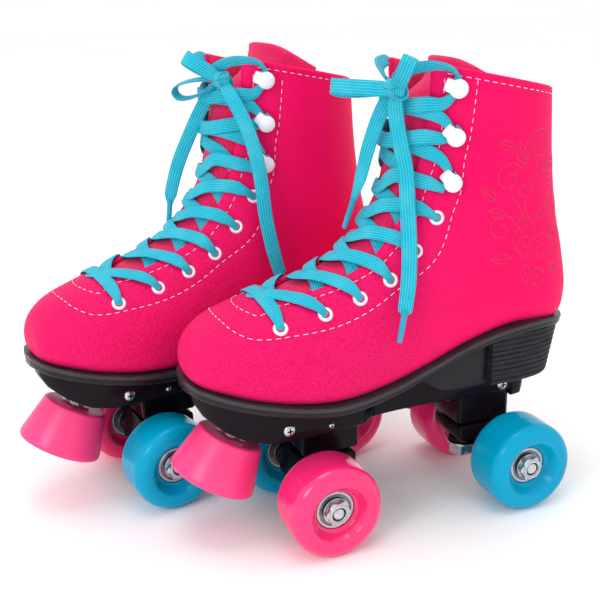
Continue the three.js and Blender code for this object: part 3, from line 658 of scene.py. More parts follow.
class Ring:
    """The boot's section at a place between 0, the toe tip, and COLLAR."""

    def __init__(self, place):
        i = min(max(math.floor(place), 0), COLLAR - 1)
        before, a, b, after = (SECTIONS[min(max(i + k, 0), COLLAR)] for k in (-1, 0, 1, 2))
        half_a = 0.5 if i > 0 else 1
        half_b = 0.5 if i + 1 < COLLAR else 1
        values = [
            hermite(v, b[k], (b[k] - before[k]) * half_a, (after[k] - v) * half_b, place - i)
            for k, v in enumerate(a)
        ]
        self.low = Vector(values[0:2])
        self.high = Vector(values[2:4])
        self.half_width, self.square_low, self.square_high, self.widest = values[4:8]
        self.up = (self.high - self.low).normalized()
        self.length = (self.high - self.low).length

    def point(self, angle, offset):
        cosine, sine = math.cos(angle), math.sin(angle)
        above = cosine > 0
        power = 2 / (self.square_high if above else self.square_low)
        rise = abs(cosine) ** power
        share = self.widest + (1 - self.widest) * rise if above else self.widest * (1 - rise)
        side = math.copysign(abs(sine) ** power, sine)
        p = self.low + self.up * ((self.length + 2 * offset) * share - offset)
        return Vector((p.x, side * (self.half_width + offset) + lean(p.x), p.y))

    def angle_at(self, half_gap):
        return math.asin(min(1, max(0, half_gap) / self.half_width) ** (self.square_high / 2))


@lru_cache(maxsize=None)
def ring(place):
    return Ring(place)


def boot_point(place, angle, offset=0.0):
    return ring(round(min(max(place, 0), COLLAR), 4)).point(angle, offset)


def boot_normal(place, angle):
    step = 0.02
    along = boot_point(place + step, angle) - boot_point(place - step, angle)
    around = boot_point(place, angle + step) - boot_point(place, angle - step)
    normal = along.cross(around).normalized()
    here = boot_point(place, angle)
    low, high = boot_point(place, math.pi), boot_point(place, 0)
    outward = here - (low + high) / 2
    return normal if normal.dot(outward) > 0 else -normal


def angle_for(place, from_centre):
    """The angle at which the surface is that far from the centreline; the sign is the side."""
    return math.copysign(ring(round(place, 4)).angle_at(abs(from_centre)), from_centre)


def throat_half_gap(place):
    if place <= THROAT_START:
        return 0.0
    opening = min((place - THROAT_START) / 0.45, 1)
    return smooth(THROAT_HALF_GAP, place) * math.sqrt(1 - (1 - opening) ** 2)


def from_side(x, z):
    """(place, angle) of the boot's surface that is seen at x, z from its outer side."""
    target = Vector((x, z))

    def beside(place):
        r = ring(round(place, 4))
        return (target - r.low).cross(r.up)

    low, high = 1.5, float(COLLAR)
    for _ in range(26):
        middle = (low + high) / 2
        if beside(low) * beside(middle) <= 0:
            high = middle
        else:
            low = middle
    place = round((low + high) / 2, 4)
    r = ring(place)
    share = min(max((target - r.low).dot(r.up) / r.length, 0.001), 0.999)
    if share > r.widest:
        rise = (share - r.widest) / (1 - r.widest)
        angle = math.acos(rise ** (r.square_high / 2))
    else:
        rise = 1 - share / r.widest
        angle = math.pi - math.acos(rise ** (r.square_low / 2))
    return place, angle


def below_collar(angle, drop):
    """The place where the surface is that far below the collar's edge."""
    target = boot_point(COLLAR, angle).z - drop
    low, high = 10.0, float(COLLAR)
    for _ in range(24):
        middle = (low + high) / 2
        if boot_point(middle, angle).z < target:
            low = middle
        else:
            high = middle
    return round((low + high) / 2, 4)


# ---- Seams on the boot -------------------------------------------------------

# The eyestay's outer seam: place along the boot and distance from its centreline.
OUTER_SEAM = [
    (15.9, 36), (15, 35), (13.7, 33), (12, 31), (10.5, 31), (9, 32), (7.5, 31.5), (6.5, 33), (5.4, 34),
    (4.78, 33), (4.18, 31), (3.69, 27), (3.31, 19), (3.17, 11), (3.12, 5),
]
INNER_SEAM_TOE = [(4.16, 19), (3.95, 13), (3.84, 7)]
INNER_SEAM_GAP = 3.7  # outside the throat's edge
COLLAR_SEAM_DROP = 2.6


def curve_through(points, steps):
    """A smooth line through points, by centripetal Catmull-Rom."""
    points = [Vector(p) for p in points]
    ends = [points[0] * 2 - points[1], *points, points[-1] * 2 - points[-2]]
    made = []
    for i in range(len(points) - 1):
        p0, p1, p2, p3 = ends[i : i + 4]
        t1 = max((p1 - p0).length, 1e-6) ** 0.5
        t2 = t1 + max((p2 - p1).length, 1e-6) ** 0.5
        t3 = t2 + max((p3 - p2).length, 1e-6) ** 0.5
        for k in range(steps):
            t = t1 + (t2 - t1) * k / steps
            a1 = p0.lerp(p1, t / t1)
            a2 = p1.lerp(p2, (t - t1) / (t2 - t1))
            a3 = p2.lerp(p3, (t - t2) / (t3 - t2))
            b1 = a1.lerp(a2, t / t2)
            b2 = a2.lerp(a3, (t - t1) / (t3 - t1))
            made.append(b1.lerp(b2, (t - t1) / (t2 - t1)))
    return [*made, points[-1]]


def surface_line(spots):
    """(point, normal) pairs along a smooth line through (place, angle) spots."""
    line = curve_through([Vector((place, angle, 0)) for place, angle in spots], 6)
    return [(boot_point(p.x, p.y), boot_normal(p.x, p.y)) for p in line]


def seam_lines():
    """The white seams: each is a list of (place, angle) spots."""

    def both_sides(spots, toe_place):
        half = [(place, angle_for(place, out)) for place, out in spots]
        return [*half, (toe_place, 0.0), *[(place, -angle) for place, angle in reversed(half)]]

    throat = []
    for k in range(20):
        place = COLLAR - 0.3 - (COLLAR - 0.3 - 4.6) * k / 19
        throat.append((place, smooth(THROAT_HALF_GAP, place) + INNER_SEAM_GAP))
    start = angle_for(COLLAR, smooth(THROAT_HALF_GAP, COLLAR) + INNER_SEAM_GAP)
    count = 48
    collar = []
    for k in range(count + 1):
        angle = start + (2 * math.pi - 2 * start) * k / count
        collar.append((below_collar(angle, COLLAR_SEAM_DROP), angle))
    return [both_sides(OUTER_SEAM, 3.1), both_sides([*throat, *INNER_SEAM_TOE], 3.8), collar]


def even(pairs, pitch):
    """(point, normal, direction) at even steps along (point, normal) pairs."""
    lengths = [0.0]
    for (a, _), (b, _) in zip(pairs, pairs[1:]):
        lengths.append(lengths[-1] + (b - a).length)
    made = []
    i = 0
    count = int(lengths[-1] / pitch)
    for k in range(count):
        at = (k + 0.5) * pitch
        while i < len(lengths) - 2 and lengths[i + 1] < at:
            i += 1
        f = (at - lengths[i]) / max(lengths[i + 1] - lengths[i], 1e-6)
        (a, na), (b, nb) = pairs[i], pairs[i + 1]
        made.append((a.lerp(b, f), na.lerp(nb, f).normalized(), (b - a).normalized()))
    return made


def add_stitches(shape, pairs, pitch=4.9, length=3.1, radius=0.3, sink=0.02, slot=0):
    """Short rounded dashes of thread along a line."""
    for point, normal, along in even(pairs, pitch):
        across = normal.cross(along)
        rows = []
        for share, size in ((-0.5, 0.25), (-0.36, 0.85), (0, 1), (0.36, 0.85), (0.5, 0.25)):
            arch = -0.25 * (2 * share) ** 2
            centre = point + along * (share * length) + normal * (radius * 0.5 - sink + arch)
            rows.append(oval(centre, across, 0.9 * radius * size, normal, radius * size, 6))
        shape.tube(rows, slot)


def add_cord_line(shape, pairs, width, height):
    """A thin raised line that follows the surface."""
    points = [point for point, _ in pairs]
    rows = []
    for i, (point, normal) in enumerate(pairs):
        across = normal.cross(heading_at(points, i).normalized())
        rows.append(oval(point, across, width / 2, normal, height, 6))
    shape.tube(rows)


# ---- Boot --------------------------------------------------------------------

SKIN_STEPS = 6
RIM_BULGE = 1.3
INSIDE_START = 1.2
SEAM_DENT_WIDTH = 1.5
VAMP_BLEND = (-45, 35)  # x where the pebbled front fades into the smooth quarter


def skin_profile():
    """(offset, bulge) through the leather, from outside to inside."""
    made = []
    for k in range(SKIN_STEPS + 1):
        angle = math.pi * k / SKIN_STEPS
        made.append((-BOOT_WALL / 2 * (1 - math.cos(angle)), RIM_BULGE * math.sin(angle)))
    return made


def boot_rows():
    below = [0.1 * k for k in range(45)]
    opening = [4.45, 4.452, 4.46, 4.475, 4.5, 4.54]
    above = [4.6 + 0.1 * k for k in range(114)]
    return [*below, *opening, *above, float(COLLAR)]


def boot_upper(foot, seam_tree):
    shape = Shape()
    columns = 144
    skin = skin_profile()

    def spot(place, share, offset, bulge=0.0):
        edge = 0.0
        if place > THROAT_START:
            edge = ring(round(place, 4)).angle_at(throat_half_gap(place) - bulge)
        return boot_point(place, edge + (2 * math.pi - 2 * edge) * share, offset)

    def row(place, offset, rise=0.0):
        return [spot(place, j / columns, offset) + Vector((0, 0, rise)) for j in range(columns + 1)]

    def toe_middle(place, offset):
        return boot_point(place, 0, offset) * 0.5 + boot_point(place, math.pi, offset) * 0.5

    places = boot_rows()
    outside = [row(place, 0.0) for place in places]
    over = [row(COLLAR, offset, 1.2 * bulge) for offset, bulge in skin[1:-1]]
    inner_places = [place for place in reversed(places) if place >= INSIDE_START]
    inside = [row(place, -BOOT_WALL) for place in inner_places]

    def seam_value(point):
        _, _, distance = seam_tree.find(point)
        return math.exp(-((distance / SEAM_DENT_WIDTH) ** 2))

    values = {
        "seam": [[seam_value(p) for p in r] for r in outside],
        "vamp": [[smoothstep(p.x, *VAMP_BLEND) for p in r] for r in outside],
    }
    shape.grid(outside, 0, values=values)
    shape.grid([outside[-1], *over, inside[0]], 0)
    shape.grid(inside, 1)
    shape.fan(outside[0], toe_middle(0, 0.0) + Vector((0.6, 0, 0)), 0)
    shape.fan(inside[-1], toe_middle(INSIDE_START, -BOOT_WALL), 1)
    open_places = [place for place in places if place >= THROAT_START]
    for share in (0, 1):
        edges = [[spot(place, share, offset, bulge) for offset, bulge in skin] for place in open_places]
        shape.grid(edges, 0)
        column = share * columns
        top = [outside[-1][column], *[r[column] for r in over], inside[0][column]]
        shape.grid([edges[-1], top], 0)
    looks = ["leather", "lining"]
    make(foot, "boot_leather", "skate", shape, looks, ["boot_upper"], 60)


BACKSTAY_START = 11.25
BACKSTAY_HALF_WIDTH = 9.0
BACKSTAY_LIFTS = (-0.8, 0.35, 0.8, 0.9, 0.9, 0.9, 0.8, 0.35, -0.8)  # across it


def backstay(foot):
    """The raised strip down the back seam, with its two rows of tonal stitching."""
    shape = Shape()
    rows = []
    lines = ([], [])
    count = 36
    for k in range(count + 1):
        place = BACKSTAY_START + (COLLAR - BACKSTAY_START) * k / count
        r = ring(round(place, 4))
        spread = math.asin(min(1, (BACKSTAY_HALF_WIDTH / r.half_width) ** (r.square_low / 2)))
        angles = [math.pi + spread * (j - 4) / 4 for j in range(len(BACKSTAY_LIFTS))]
        rows.append([boot_point(place, a, lift) for a, lift in zip(angles, BACKSTAY_LIFTS)])
        for line, side in zip(lines, (-1, 1)):
            angle = math.pi + spread * 0.68 * side
            line.append((boot_point(place, angle, 0.9), boot_normal(place, angle)))
    shape.grid(rows)
    for line in lines:
        add_stitches(shape, line, pitch=3.2, length=2.2, radius=0.32, sink=0.05, slot=1)
    make(foot, "backstay", "skate", shape, ["trim", "pink_thread"])


SCROLL_WIDTH = 0.6
SCROLL_HEIGHT = 0.25
SCROLL_STEMS = [
    [(-60, 150), (-66, 166), (-58, 182), (-66, 198), (-62, 214)],
    [(-60, 150), (-52, 162), (-57, 176), (-49, 190), (-52, 203)],
]
# Each spiral: x, z, size, the angle where it starts, its turns and their hand.
SCROLL_SPIRALS = [
    (-68, 214, 10, 0.4, 1.35, 1), (-47, 198, 9, 2.6, 1.3, -1), (-76, 184, 9, 0.2, 1.3, 1),
    (-44, 170, 9, 3.0, 1.3, -1), (-72, 156, 9, 0.6, 1.3, 1), (-70, 138, 6.5, 1.2, 1.2, 1),
    (-81, 203, 7, 1.0, 1.25, -1), (-57, 191, 6, 2.0, 1.2, 1), (-82, 163, 6, 4.0, 1.2, -1),
    (-60, 160, 6, 5.0, 1.2, 1),
]
# Each leaf: x, z, length, heading and about half its width.
SCROLL_LEAVES = [
    (-70, 200, 11, 2.9, 3), (-66, 174, 11, 2.7, 3), (-78, 146, 10, 3.9, 3), (-49, 214, 11, 0.4, 3),
    (-57, 207, 15, 1.9, 4), (-57, 205, 14, 1.1, 4), (-40, 186, 12, 0.7, 3.2), (-36, 181, 12, 3.5, 3.2),
    (-83, 172, 12, 2.2, 3), (-58, 166, 12, 1.5, 3.4), (-52, 152, 13, 0.1, 3.4), (-60, 148, 13, 4.4, 3.6),
]


def spiral(x, z, size, start, turns, hand):
    line = []
    for k in range(41):
        angle = start + hand * turns * 2 * math.pi * k / 40
        reach = size * (1 - 0.82 * k / 40)
        line.append((x + reach * math.cos(angle), z + reach * math.sin(angle)))
    return line


def leaf(x, z, length, heading, fat):
    """A leaf's outline and its midrib."""
    root = Vector((x, z))
    along = Vector((math.cos(heading), math.sin(heading)))
    across = Vector((-along.y, along.x))
    line = []
    for k in range(25):
        f = k / 12
        out, side = (f, 1) if f <= 1 else (2 - f, -1)
        wide = math.sin(math.pi * out) * fat * (1 - 0.35 * out)
        line.append(root + along * (length * out) + across * (side * wide))
    return line, [root + along * (length * 0.1 * k) for k in range(9)]


def scroll_curves():
    """A generic scroll for the outer rear quarter: spirals with leaves, as [x, z] lines."""
    curves = []
    for stem in SCROLL_STEMS:
        line = curve_through([Vector((x, z, 0)) for x, z in stem], 8)
        curves.append([(p.x, p.y) for p in line])
    curves += [spiral(*values) for values in SCROLL_SPIRALS]
    for values in SCROLL_LEAVES:
        curves += leaf(*values)
    return curves


def scroll(foot):
    shape = Shape()
    for curve in scroll_curves():
        pairs = []
        for x, z in curve:
            place, angle = from_side(x, z)
            pairs.append((boot_point(place, angle), boot_normal(place, angle)))
        add_cord_line(shape, pairs, SCROLL_WIDTH, SCROLL_HEIGHT)
    make(foot, "scroll_embroidery", "skate", shape, ["pink_thread"])


TONGUE_SLUMP = {"left": 25, "right": 30}  # how far its top falls back into the boot
TONGUE_DEPTH = 4.25  # below the boot's surface
TONGUE_THICKNESS = 3.2
TONGUE_PAD = 1.1
# Heights of the top edge against the collar: the padded middle, and the wings beside it.
TAB_TOP = {"left": 0.0, "right": 5.0}
WING_TOP = -8.0
SUNK_SIDE = 6.5  # how much lower the side is that faces the camera


def tongue(foot):
    """Padded in the middle. The thin wing away from the camera ends lower than the middle."""
    shape = Shape()
    columns = 40
    start = THROAT_START + 0.35

    def spot(place, across, depth, rise=0.0):
        under_flap = 6 + 6 * smoothstep(place, 12, COLLAR)
        reach = angle_for(place, smooth(THROAT_HALF_GAP, place) + under_flap)
        slump = TONGUE_SLUMP[foot] * smoothstep(place, 11.5, COLLAR) * (1 - 0.45 * across**2)
        return boot_point(place, reach * across, -depth) + Vector((-slump - 0.35 * rise, 0, rise))

    def padding(across):
        seam = 0.3 * math.exp(-(((abs(across) - 0.62) / 0.05) ** 2))
        return TONGUE_PAD * (1 - smoothstep(abs(across), 0.5, 0.72)) - seam

    def top(across):
        """Each tongue has sunk a little toward the side that faces the camera."""
        toward = across if foot == "left" else -across
        step = 1 - smoothstep(-toward, 0.6, 0.78)
        sunk = SUNK_SIDE * smoothstep(toward, 0.2, 1.1)
        return WING_TOP + (TAB_TOP[foot] - WING_TOP) * step - sunk

    def row(place, share, inner):
        made = []
        for j in range(columns + 1):
            across = 2 * j / columns - 1
            pad = padding(across) * min(1, (place - start) / 0.6)
            depth = TONGUE_DEPTH + TONGUE_THICKNESS if inner else TONGUE_DEPTH - pad
            rise = top(across) * smoothstep(place, 13.5, COLLAR)
            edge = 1.5 * (1 - share)
            depth += edge * (-1 if inner else 1)
            made.append(spot(place, across, depth, rise + 1.4 * (1 - share**2) ** 0.5))
        return made

    places = [start + (COLLAR - start) * k / 70 for k in range(71)]
    outer = [row(place, 1, False) for place in places]
    inner = [row(place, 1, True) for place in places]
    shares = (0.85, 0.6, 0.3, 0.0)
    over = [row(COLLAR, share, False) for share in shares]
    over += [row(COLLAR, share, True) for share in reversed(shares)]
    shape.grid([*outer, *over, *reversed(inner)], 0)
    shape.grid([outer[0], inner[0]], 0)
    for column in (0, columns):
        shape.grid([[r[column] for r in outer], [r[column] for r in inner]], 0)
    piece = make(foot, "tongue_padded", "skate", shape, ["tongue"], ["tongue"], 70)


FOOTBED_HEEL = -84
FOOTBED_TOE = 112
FOOTBED_THICKNESS = 3.6


def footbed(foot):
    half_widths = [(-84, 14), (-74, 20), (-55, 22), (-20, 22), (20, 25), (60, 29), (95, 25), (112, 14)]
    tops = [
        (-84, 115.5), (-74, 115.5), (-50, 115.5), (-31, 108.5), (-3, 98.5), (24, 92), (50, 89.5),
        (75, 92), (97, 97), (112, 103),
    ]
    shape = Shape()
    rows = []
    for k in range(67):
        x = FOOTBED_HEEL + (FOOTBED_TOE - FOOTBED_HEEL) * k / 66
        top = smooth(tops, x)
        taper = min(1.0, ((x + 84.5) / 9) ** 0.5, ((112.5 - x) / 12) ** 0.5)
        half = smooth(half_widths, x) * (0.55 + 0.45 * taper)
        rows.append(rounded_section(x, top - FOOTBED_THICKNESS, top, half, 1.4, lean(x)))
    shape.tube(rows)
    piece = make(foot, "footbed", "skate", shape, ["footbed"], ["insole"], 50)


# ---- Sole and plate ----------------------------------------------------------

SOLE_HEEL = -104.6
SOLE_TOE = 131.5
# Where the boot meets the sole: x and height. Half widths are by x too.
SOLE_LINE = [
    (-106, 107), (-82, 109.5), (-56, 107.5), (-31, 102.5), (-5, 94), (20, 87), (50, 83), (70, 84.5),
    (102, 91), (132, 99),
]
SOLE_HALF_WIDTH = [
    (-106, 5), (-104, 13), (-98, 22), (-88, 28), (-72, 31), (-40, 32), (-5, 34), (24, 37), (50, 40),
    (75, 40.5), (97, 37.5), (113, 32), (123, 25), (128.5, 17), (131.5, 6),
]


def stations(first, last, count, crowd=2.0):
    """x values that crowd toward both ends."""
    made = []
    for k in range(count + 1):
        f = k / count
        eased = 0.5 - 0.5 * math.cos(math.pi * f)
        made.append(first + (last - first) * ((1 - 1 / crowd) * eased + f / crowd))
    return made


def sole(foot):
    shape = Shape()
    welt, body = [], []
    for x in stations(SOLE_HEEL, SOLE_TOE, 110, 1.3):
        half = smooth(SOLE_HALF_WIDTH, x)
        line = smooth(SOLE_LINE, x)
        low = line - SOLE_THICKNESS
        lip = 0.8 * smoothstep(x, -100, -80)
        welt.append(rounded_section(x, line - 1.7, line + lip, half - 0.6 + 0.75 * lip, 0.9, lean(x)))
        body.append(rounded_section(x, low, line - 1.5, max(half - 1.1, 1), 1.2, lean(x), 0.8))
    shape.tube(welt, 1)
    shape.tube(body)
    arch = []
    for x in stations(-50, 5, 24):
        low = smooth([(-50, HEEL_BOTTOM), (-18, HEEL_BOTTOM), (-4, 82), (5, 87.4)], x)
        arch.append(rounded_section(x, low, smooth(SOLE_LINE, x) - 3, 24.6, 1.2))
    shape.tube(arch)
    heel_stack_shape(shape, 2)
    looks = ["sole", "welt", "heel"]
    make(foot, "sole_and_heel", "skate", shape, looks, ["sole_unit"], 45)


HEEL_FRONT = -46.0
HEEL_BACK = -96  # at the bottom
HEEL_TOP = 105
HEEL_RAKE = 0.24  # how far its back goes outward for each millimetre up
HEEL_HALF_WIDTH = [(0.0, 3.5), (0.03, 12), (0.12, 20.5), (0.28, 26), (0.55, 29), (1.0, 29.4)]
HEEL_SHARES = [0.0, 0.01, 0.03, 0.07, 0.12, 0.18, 0.26, 0.36, 0.5, 0.66, 0.82, 0.95, 1.0]
GROOVE_PITCH = 3.0
GROOVE_DEPTH = 0.8


def heel_stack_shape(shape, slot):
    """The stacked heel: shallow grooves run round it, and its back rakes in toward the floor."""
    rows = []
    levels = 80
    for k in range(levels + 1):
        above = (HEEL_TOP - HEEL_BOTTOM) * k / levels
        back = HEEL_BACK - HEEL_RAKE * above
        groove = GROOVE_DEPTH * max(0.0, math.cos(2 * math.pi * above / GROOVE_PITCH)) ** 5
        rim = 0.9 * max(0, 1 - above / 0.9)
        sunk = max(groove, rim)
        there = []
        for i, share in enumerate(HEEL_SHARES):
            x = back + (HEEL_FRONT - back) * share + (sunk if i < 6 else 0)
            half = max(smooth(HEEL_HALF_WIDTH, share) - sunk, 0.5)
            there.append(Vector((x, half, HEEL_BOTTOM + above)))
        rows.append([*there, *[Vector((p.x, -p.y, p.z)) for p in reversed(there)]])
    shape.tube(rows, slot)


PLATE_TAIL = -81
PLATE_NOSE = 126
PLATE_HALF_WIDTH = [
    (-81, 12), (-76, 18), (-66, 20), (-30, 20), (-10, 19), (25, 21), (36, 28), (92, 30), (108, 25),
    (119, 17), (126, 6),
]
PLATE_LOW = [
    (-81, 73), (-75, 59.5), (-68, 59.5), (-66, 64), (90, 64), (104, 67), (114, 72), (123, 79),
    (126, 85),
]


def plate_top(x):
    if x < -18:
        return HEEL_BOTTOM - 0.3
    under_sole = smooth(SOLE_LINE, x) - SOLE_THICKNESS + 0.1
    if x > 2:
        return under_sole
    return HEEL_BOTTOM + (under_sole - HEEL_BOTTOM) * smoothstep(x, -19, 2)


def chassis(foot):
    shape = Shape()
    body, flange = [], []
    tail = [PLATE_TAIL + k * 0.5 for k in range(34)]
    for x in [*tail, *stations(-64, PLATE_NOSE, 90, 1.4)]:
        top = plate_top(x)
        low = min(straight(PLATE_LOW, x), top - 1.5)
        half = smooth(PLATE_HALF_WIDTH, x)
        body.append(rounded_section(x, low, top, half - 0.9, 1.6, 0, 0.7))
        flange.append(rounded_section(x, top - 2.6, top, half, 0.8))
    shape.tube(body)
    shape.tube(flange)
    for end in (1, -1):
        truck_housing(shape, end)
    for x in (-20, 0, 20):
        round_box(shape, (x - 1.2, -15, 62.4), (x + 1.2, 15, 65), 0.5)
    for y in (-9, 9):
        round_box(shape, (-28, y - 1.1, 62.4), (28, y + 1.1, 65), 0.5)
    boss = fillet([(0, 5.2), (10.4, 5.2), (12.5, 16)], 1.5)
    spin(shape, boss, TOE_STOP_TOP, STEM_UP, 40)
    make(foot, "plate_and_housings", "skate", shape, ["plate"], ["chassis"], 38)


def truck_housing(shape, end):
    """One open-bottomed housing with its walls, rim and the pivot cup inside."""
    back, front, half, bottom, wall, roof = 33, 68, 16, 46, 2.4, 61
    middle, length = (back + front) / 2, (front - back) / 2

    def outline(shrink, z):
        corners = [
            (middle - length + shrink, -half + shrink), (middle + length - shrink, -half + shrink),
            (middle + length - shrink, half - shrink), (middle - length + shrink, half - shrink),
        ]
        radius = max(3.0 - shrink, 1.0)
        return [Vector((end * p.x, p.y, z)) for p in fillet_loop(corners, radius, 4)]

    levels = [
        (-0.6, 70), (0, 66), (0, bottom + 1.0), (0.3, bottom + 0.3), (0.9, bottom),
        (wall - 0.6, bottom), (wall, bottom + 0.6), (wall + 0.3, roof - 0.5), (wall + 0.8, roof),
    ]
    shape.grid([outline(shrink, z) for shrink, z in levels], 0, around=True)
    shape.fan(outline(wall + 0.8, roof), Vector((end * middle, 0, roof)), 0)
    cup = fillet([(0, 60.5), (7.4, 60.5), (6.6, 51.4), (5.2, 51.4), (4.9, 54.5), (0, 55.5)], 0.6)
    spin(shape, cup, (end * PIVOT_BALL.x, 0, 0), (0, 0, 1), 28)


def pan_screw(shape, origin, axis, radius):
    """A domed screw head; its cross recess is two dark bars on the dome, painted shade."""
    rim = [(radius * 0.62, 1.75), (radius, 0.7), (radius * 0.96, -0.2)]
    spin(shape, fillet([(0, 1.9), *rim, (0, -0.2)], 0.7), origin, axis, 24)
    axis, side, other = axes_about(axis)
    for direction, across in ((side, other), (other, side)):
        along, aside = direction * (radius * 0.5), across * (radius * 0.12)
        rows = []
        for height in (1.2, 1.97):
            middle = Vector(origin) + axis * height
            rows.append([middle + along * u + aside * v for u, v in ((-1, -1), (1, -1), (1, 1), (-1, 1))])
        # The bars take the near-black slot: painted shade of the recess.
        shape.tube(rows, 1)


SIDE_SCREWS = [(81, 29.6, 71, 3.4), (56, 29.0, 69, 1.8), (-60, 20.0, 69, 3.4)]  # x, y, z, radius
UNDER_SCREWS = [(-26, 13, 64.1), (26, 14, 64.1), (86, 17, 64.1), (-72, 12, 59.7)]  # x, y, z


def fasteners(foot):
    """The plate's screws, at its sides and up through its underside."""
    shape = Shape()
    for x, y, z, radius in SIDE_SCREWS:
        for side in (1, -1):
            pan_screw(shape, (x, side * (y - 0.7), z), (0, side, 0), radius)
    for x, y, z in UNDER_SCREWS:
        for side in (1, -1):
            pan_screw(shape, (x, side * y, z), (0, 0, -1), 3.0)
    make(foot, "plate_screws", "skate", shape, ["steel", "recess"])


def toe_stop(foot):
    block = Shape()
    foot_rim = [(20.5, -27.2), (22.5, -28), (25, -27.4), (25, -24.6)]
    outline = [(0, -27.2), *foot_rim, (19.1, -0.9), (17.6, 0), (0, 0)]
    spin(block, fillet(outline, [0, 1.2, 1.0, 1.4, 1.2, 1.6, 1.0, 0], 5), TOE_STOP_TOP, STEM_UP, 72)
    make(foot, "toe_stop_block", "skate", block, ["stop"], ["toe_stop"], 50)
    bolt = Shape()
    spin(bolt, thread_profile(5, -9, 21, 1.5, 0.5), TOE_STOP_TOP, STEM_UP, 28)
    spin(bolt, hex_profile(17, 0.6, 5.6, 4.4), TOE_STOP_TOP, STEM_UP, 48, 0, 17)
    spin(bolt, fillet([(5, 5.5), (11.4, 5.5), (11.4, 6.4), (5, 6.4)], 0.3), TOE_STOP_TOP, STEM_UP, 36)
    make(foot, "toe_stop_bolt", "skate", bolt, ["steel"], ["toe_stop_stem"])


# ---- Trucks and wheels -------------------------------------------------------


PIVOT_BALL_RADIUS = 3.8
AXLE_THREAD_START = 45.5


def hanger(foot, end_name, end):
    """The body of a truck: its ring round the kingpin, arms round the axle, and pivot ball."""
    shape = Shape()
    ring_side = [(60, 18.4), (56, 20), (52, 31), (37, 32.6), (34.5, 35), (34.5, 43)]
    side = [*reversed(ring_side), (66, 19), (70.5, 25), (70.5, 32), (68, 43)]
    side_prism(shape, [(end * x, z) for x, z in side], 15.4, 1.5, 2.2)
    arm = fillet([(0, 8), (8.8, 8), (8.8, 15.5), (7.4, 22), (7.0, 29.2), (4.6, 29.3)], 1.2)
    low_x, high_x = sorted((end * 57, end * 60))
    for across in (1, -1):
        spin(shape, arm, (end * AXLE_X, 0, WHEEL_RADIUS), (0, across, 0), 40)
        round_box(shape, (low_x, across * 18 - 4, 30), (high_x, across * 18 + 4, 34), 0.8)
    half_turn = [math.pi * k / 12 for k in range(13)]
    ball = [(PIVOT_BALL_RADIUS * math.sin(a), -PIVOT_BALL_RADIUS * math.cos(a)) for a in half_turn]
    spin(shape, ball, (end * PIVOT_BALL.x, 0, PIVOT_BALL.z), ROW_UP, 28)
    neck = fillet([(0, 42), (4.6, 42), (3, 44.5), (3, 48)], 0.8)
    spin(shape, neck, (end * PIVOT_BALL.x, 0, 0), ROW_UP, 28)
    spin(shape, [(6.2, 43.2), (7.6, 43.2), (7.6, 42.5)], (end * KINGPIN_X, 0, 0), ROW_UP, 32)
    name, body, stands_for = f"{end_name}_truck_body", f"{end_name}_truck", [f"{end_name}_hanger"]
    make(foot, name, body, shape, ["truck"], stands_for, 38)


def axle(foot, end_name, end):
    shape = Shape()
    thread = thread_profile(AXLE_RADIUS, AXLE_THREAD_START, AXLE_END - 1.6, 1.0, 0.3)
    tip = fillet([(3.7, AXLE_END - 1.5), (3.4, AXLE_END - 0.5), (2.2, AXLE_END), (0, AXLE_END)], 0.6)
    half = [(AXLE_RADIUS, 0), (AXLE_RADIUS, AXLE_THREAD_START), *thread, *tip]
    for across in (1, -1):
        spin(shape, half, (end * AXLE_X, 0, WHEEL_RADIUS), (0, across, 0), 28)
    name, body = f"{end_name}_axle_bar", f"{end_name}_truck"
    make(foot, name, body, shape, ["steel"], [f"{end_name}_axle"])


def kingpin(foot, end_name, end):
    shape = Shape()
    at_pin = (end * KINGPIN_X, 0, 0)
    thread = thread_profile(KINGPIN_RADIUS, 18.4, 29, 1.25, 0.4)
    shank = [(0, 17.5), (3.6, 17.5), (4.3, 18.2), *thread, (KINGPIN_RADIUS, 29.5), (KINGPIN_RADIUS, 66)]
    spin(shape, shank, at_pin, ROW_UP, 28)
    spin(shape, [(r, 44.6 - h) for r, h in hex_profile(14, 19, 25.6, 4.5)], at_pin, ROW_UP, 48, 0, 14)
    washer = fillet([(4.6, 25.6), (8.5, 25.6), (8.5, 27), (4.6, 27)], [0, 0.3, 0.3, 0])
    spin(shape, washer, at_pin, ROW_UP, 40)
    name = f"{end_name}_kingpin_bolt"
    make(foot, name, "skate", shape, ["steel"], [f"{end_name}_kingpin"])


def cushions(foot, end_name, end):
    shape = Shape()
    at_pin = (end * KINGPIN_X, 0, 0)
    low = fillet([(5.2, 27.3), (7.2, 27.3), (8, 28.6), (7.6, 30), (5.2, 30)], 0.5)
    waist = [(7.2, 44.5), (7.9, 47), (7.7, 52), (8.1, 57), (7.6, 60.5)]
    high = fillet([(5.2, 44.5), *waist, (5.2, 60.5)], 0.9)
    for profile in (low, high):
        spin(shape, profile, at_pin, ROW_UP, 36)
    spin(shape, [(5.1, 30), (5.6, 30), (5.6, 44.6), (5.1, 44.6)], at_pin, ROW_UP, 24)
    name = f"{end_name}_cushions"
    make(foot, name, "skate", shape, ["cushion"], [f"{end_name}_cushion"])


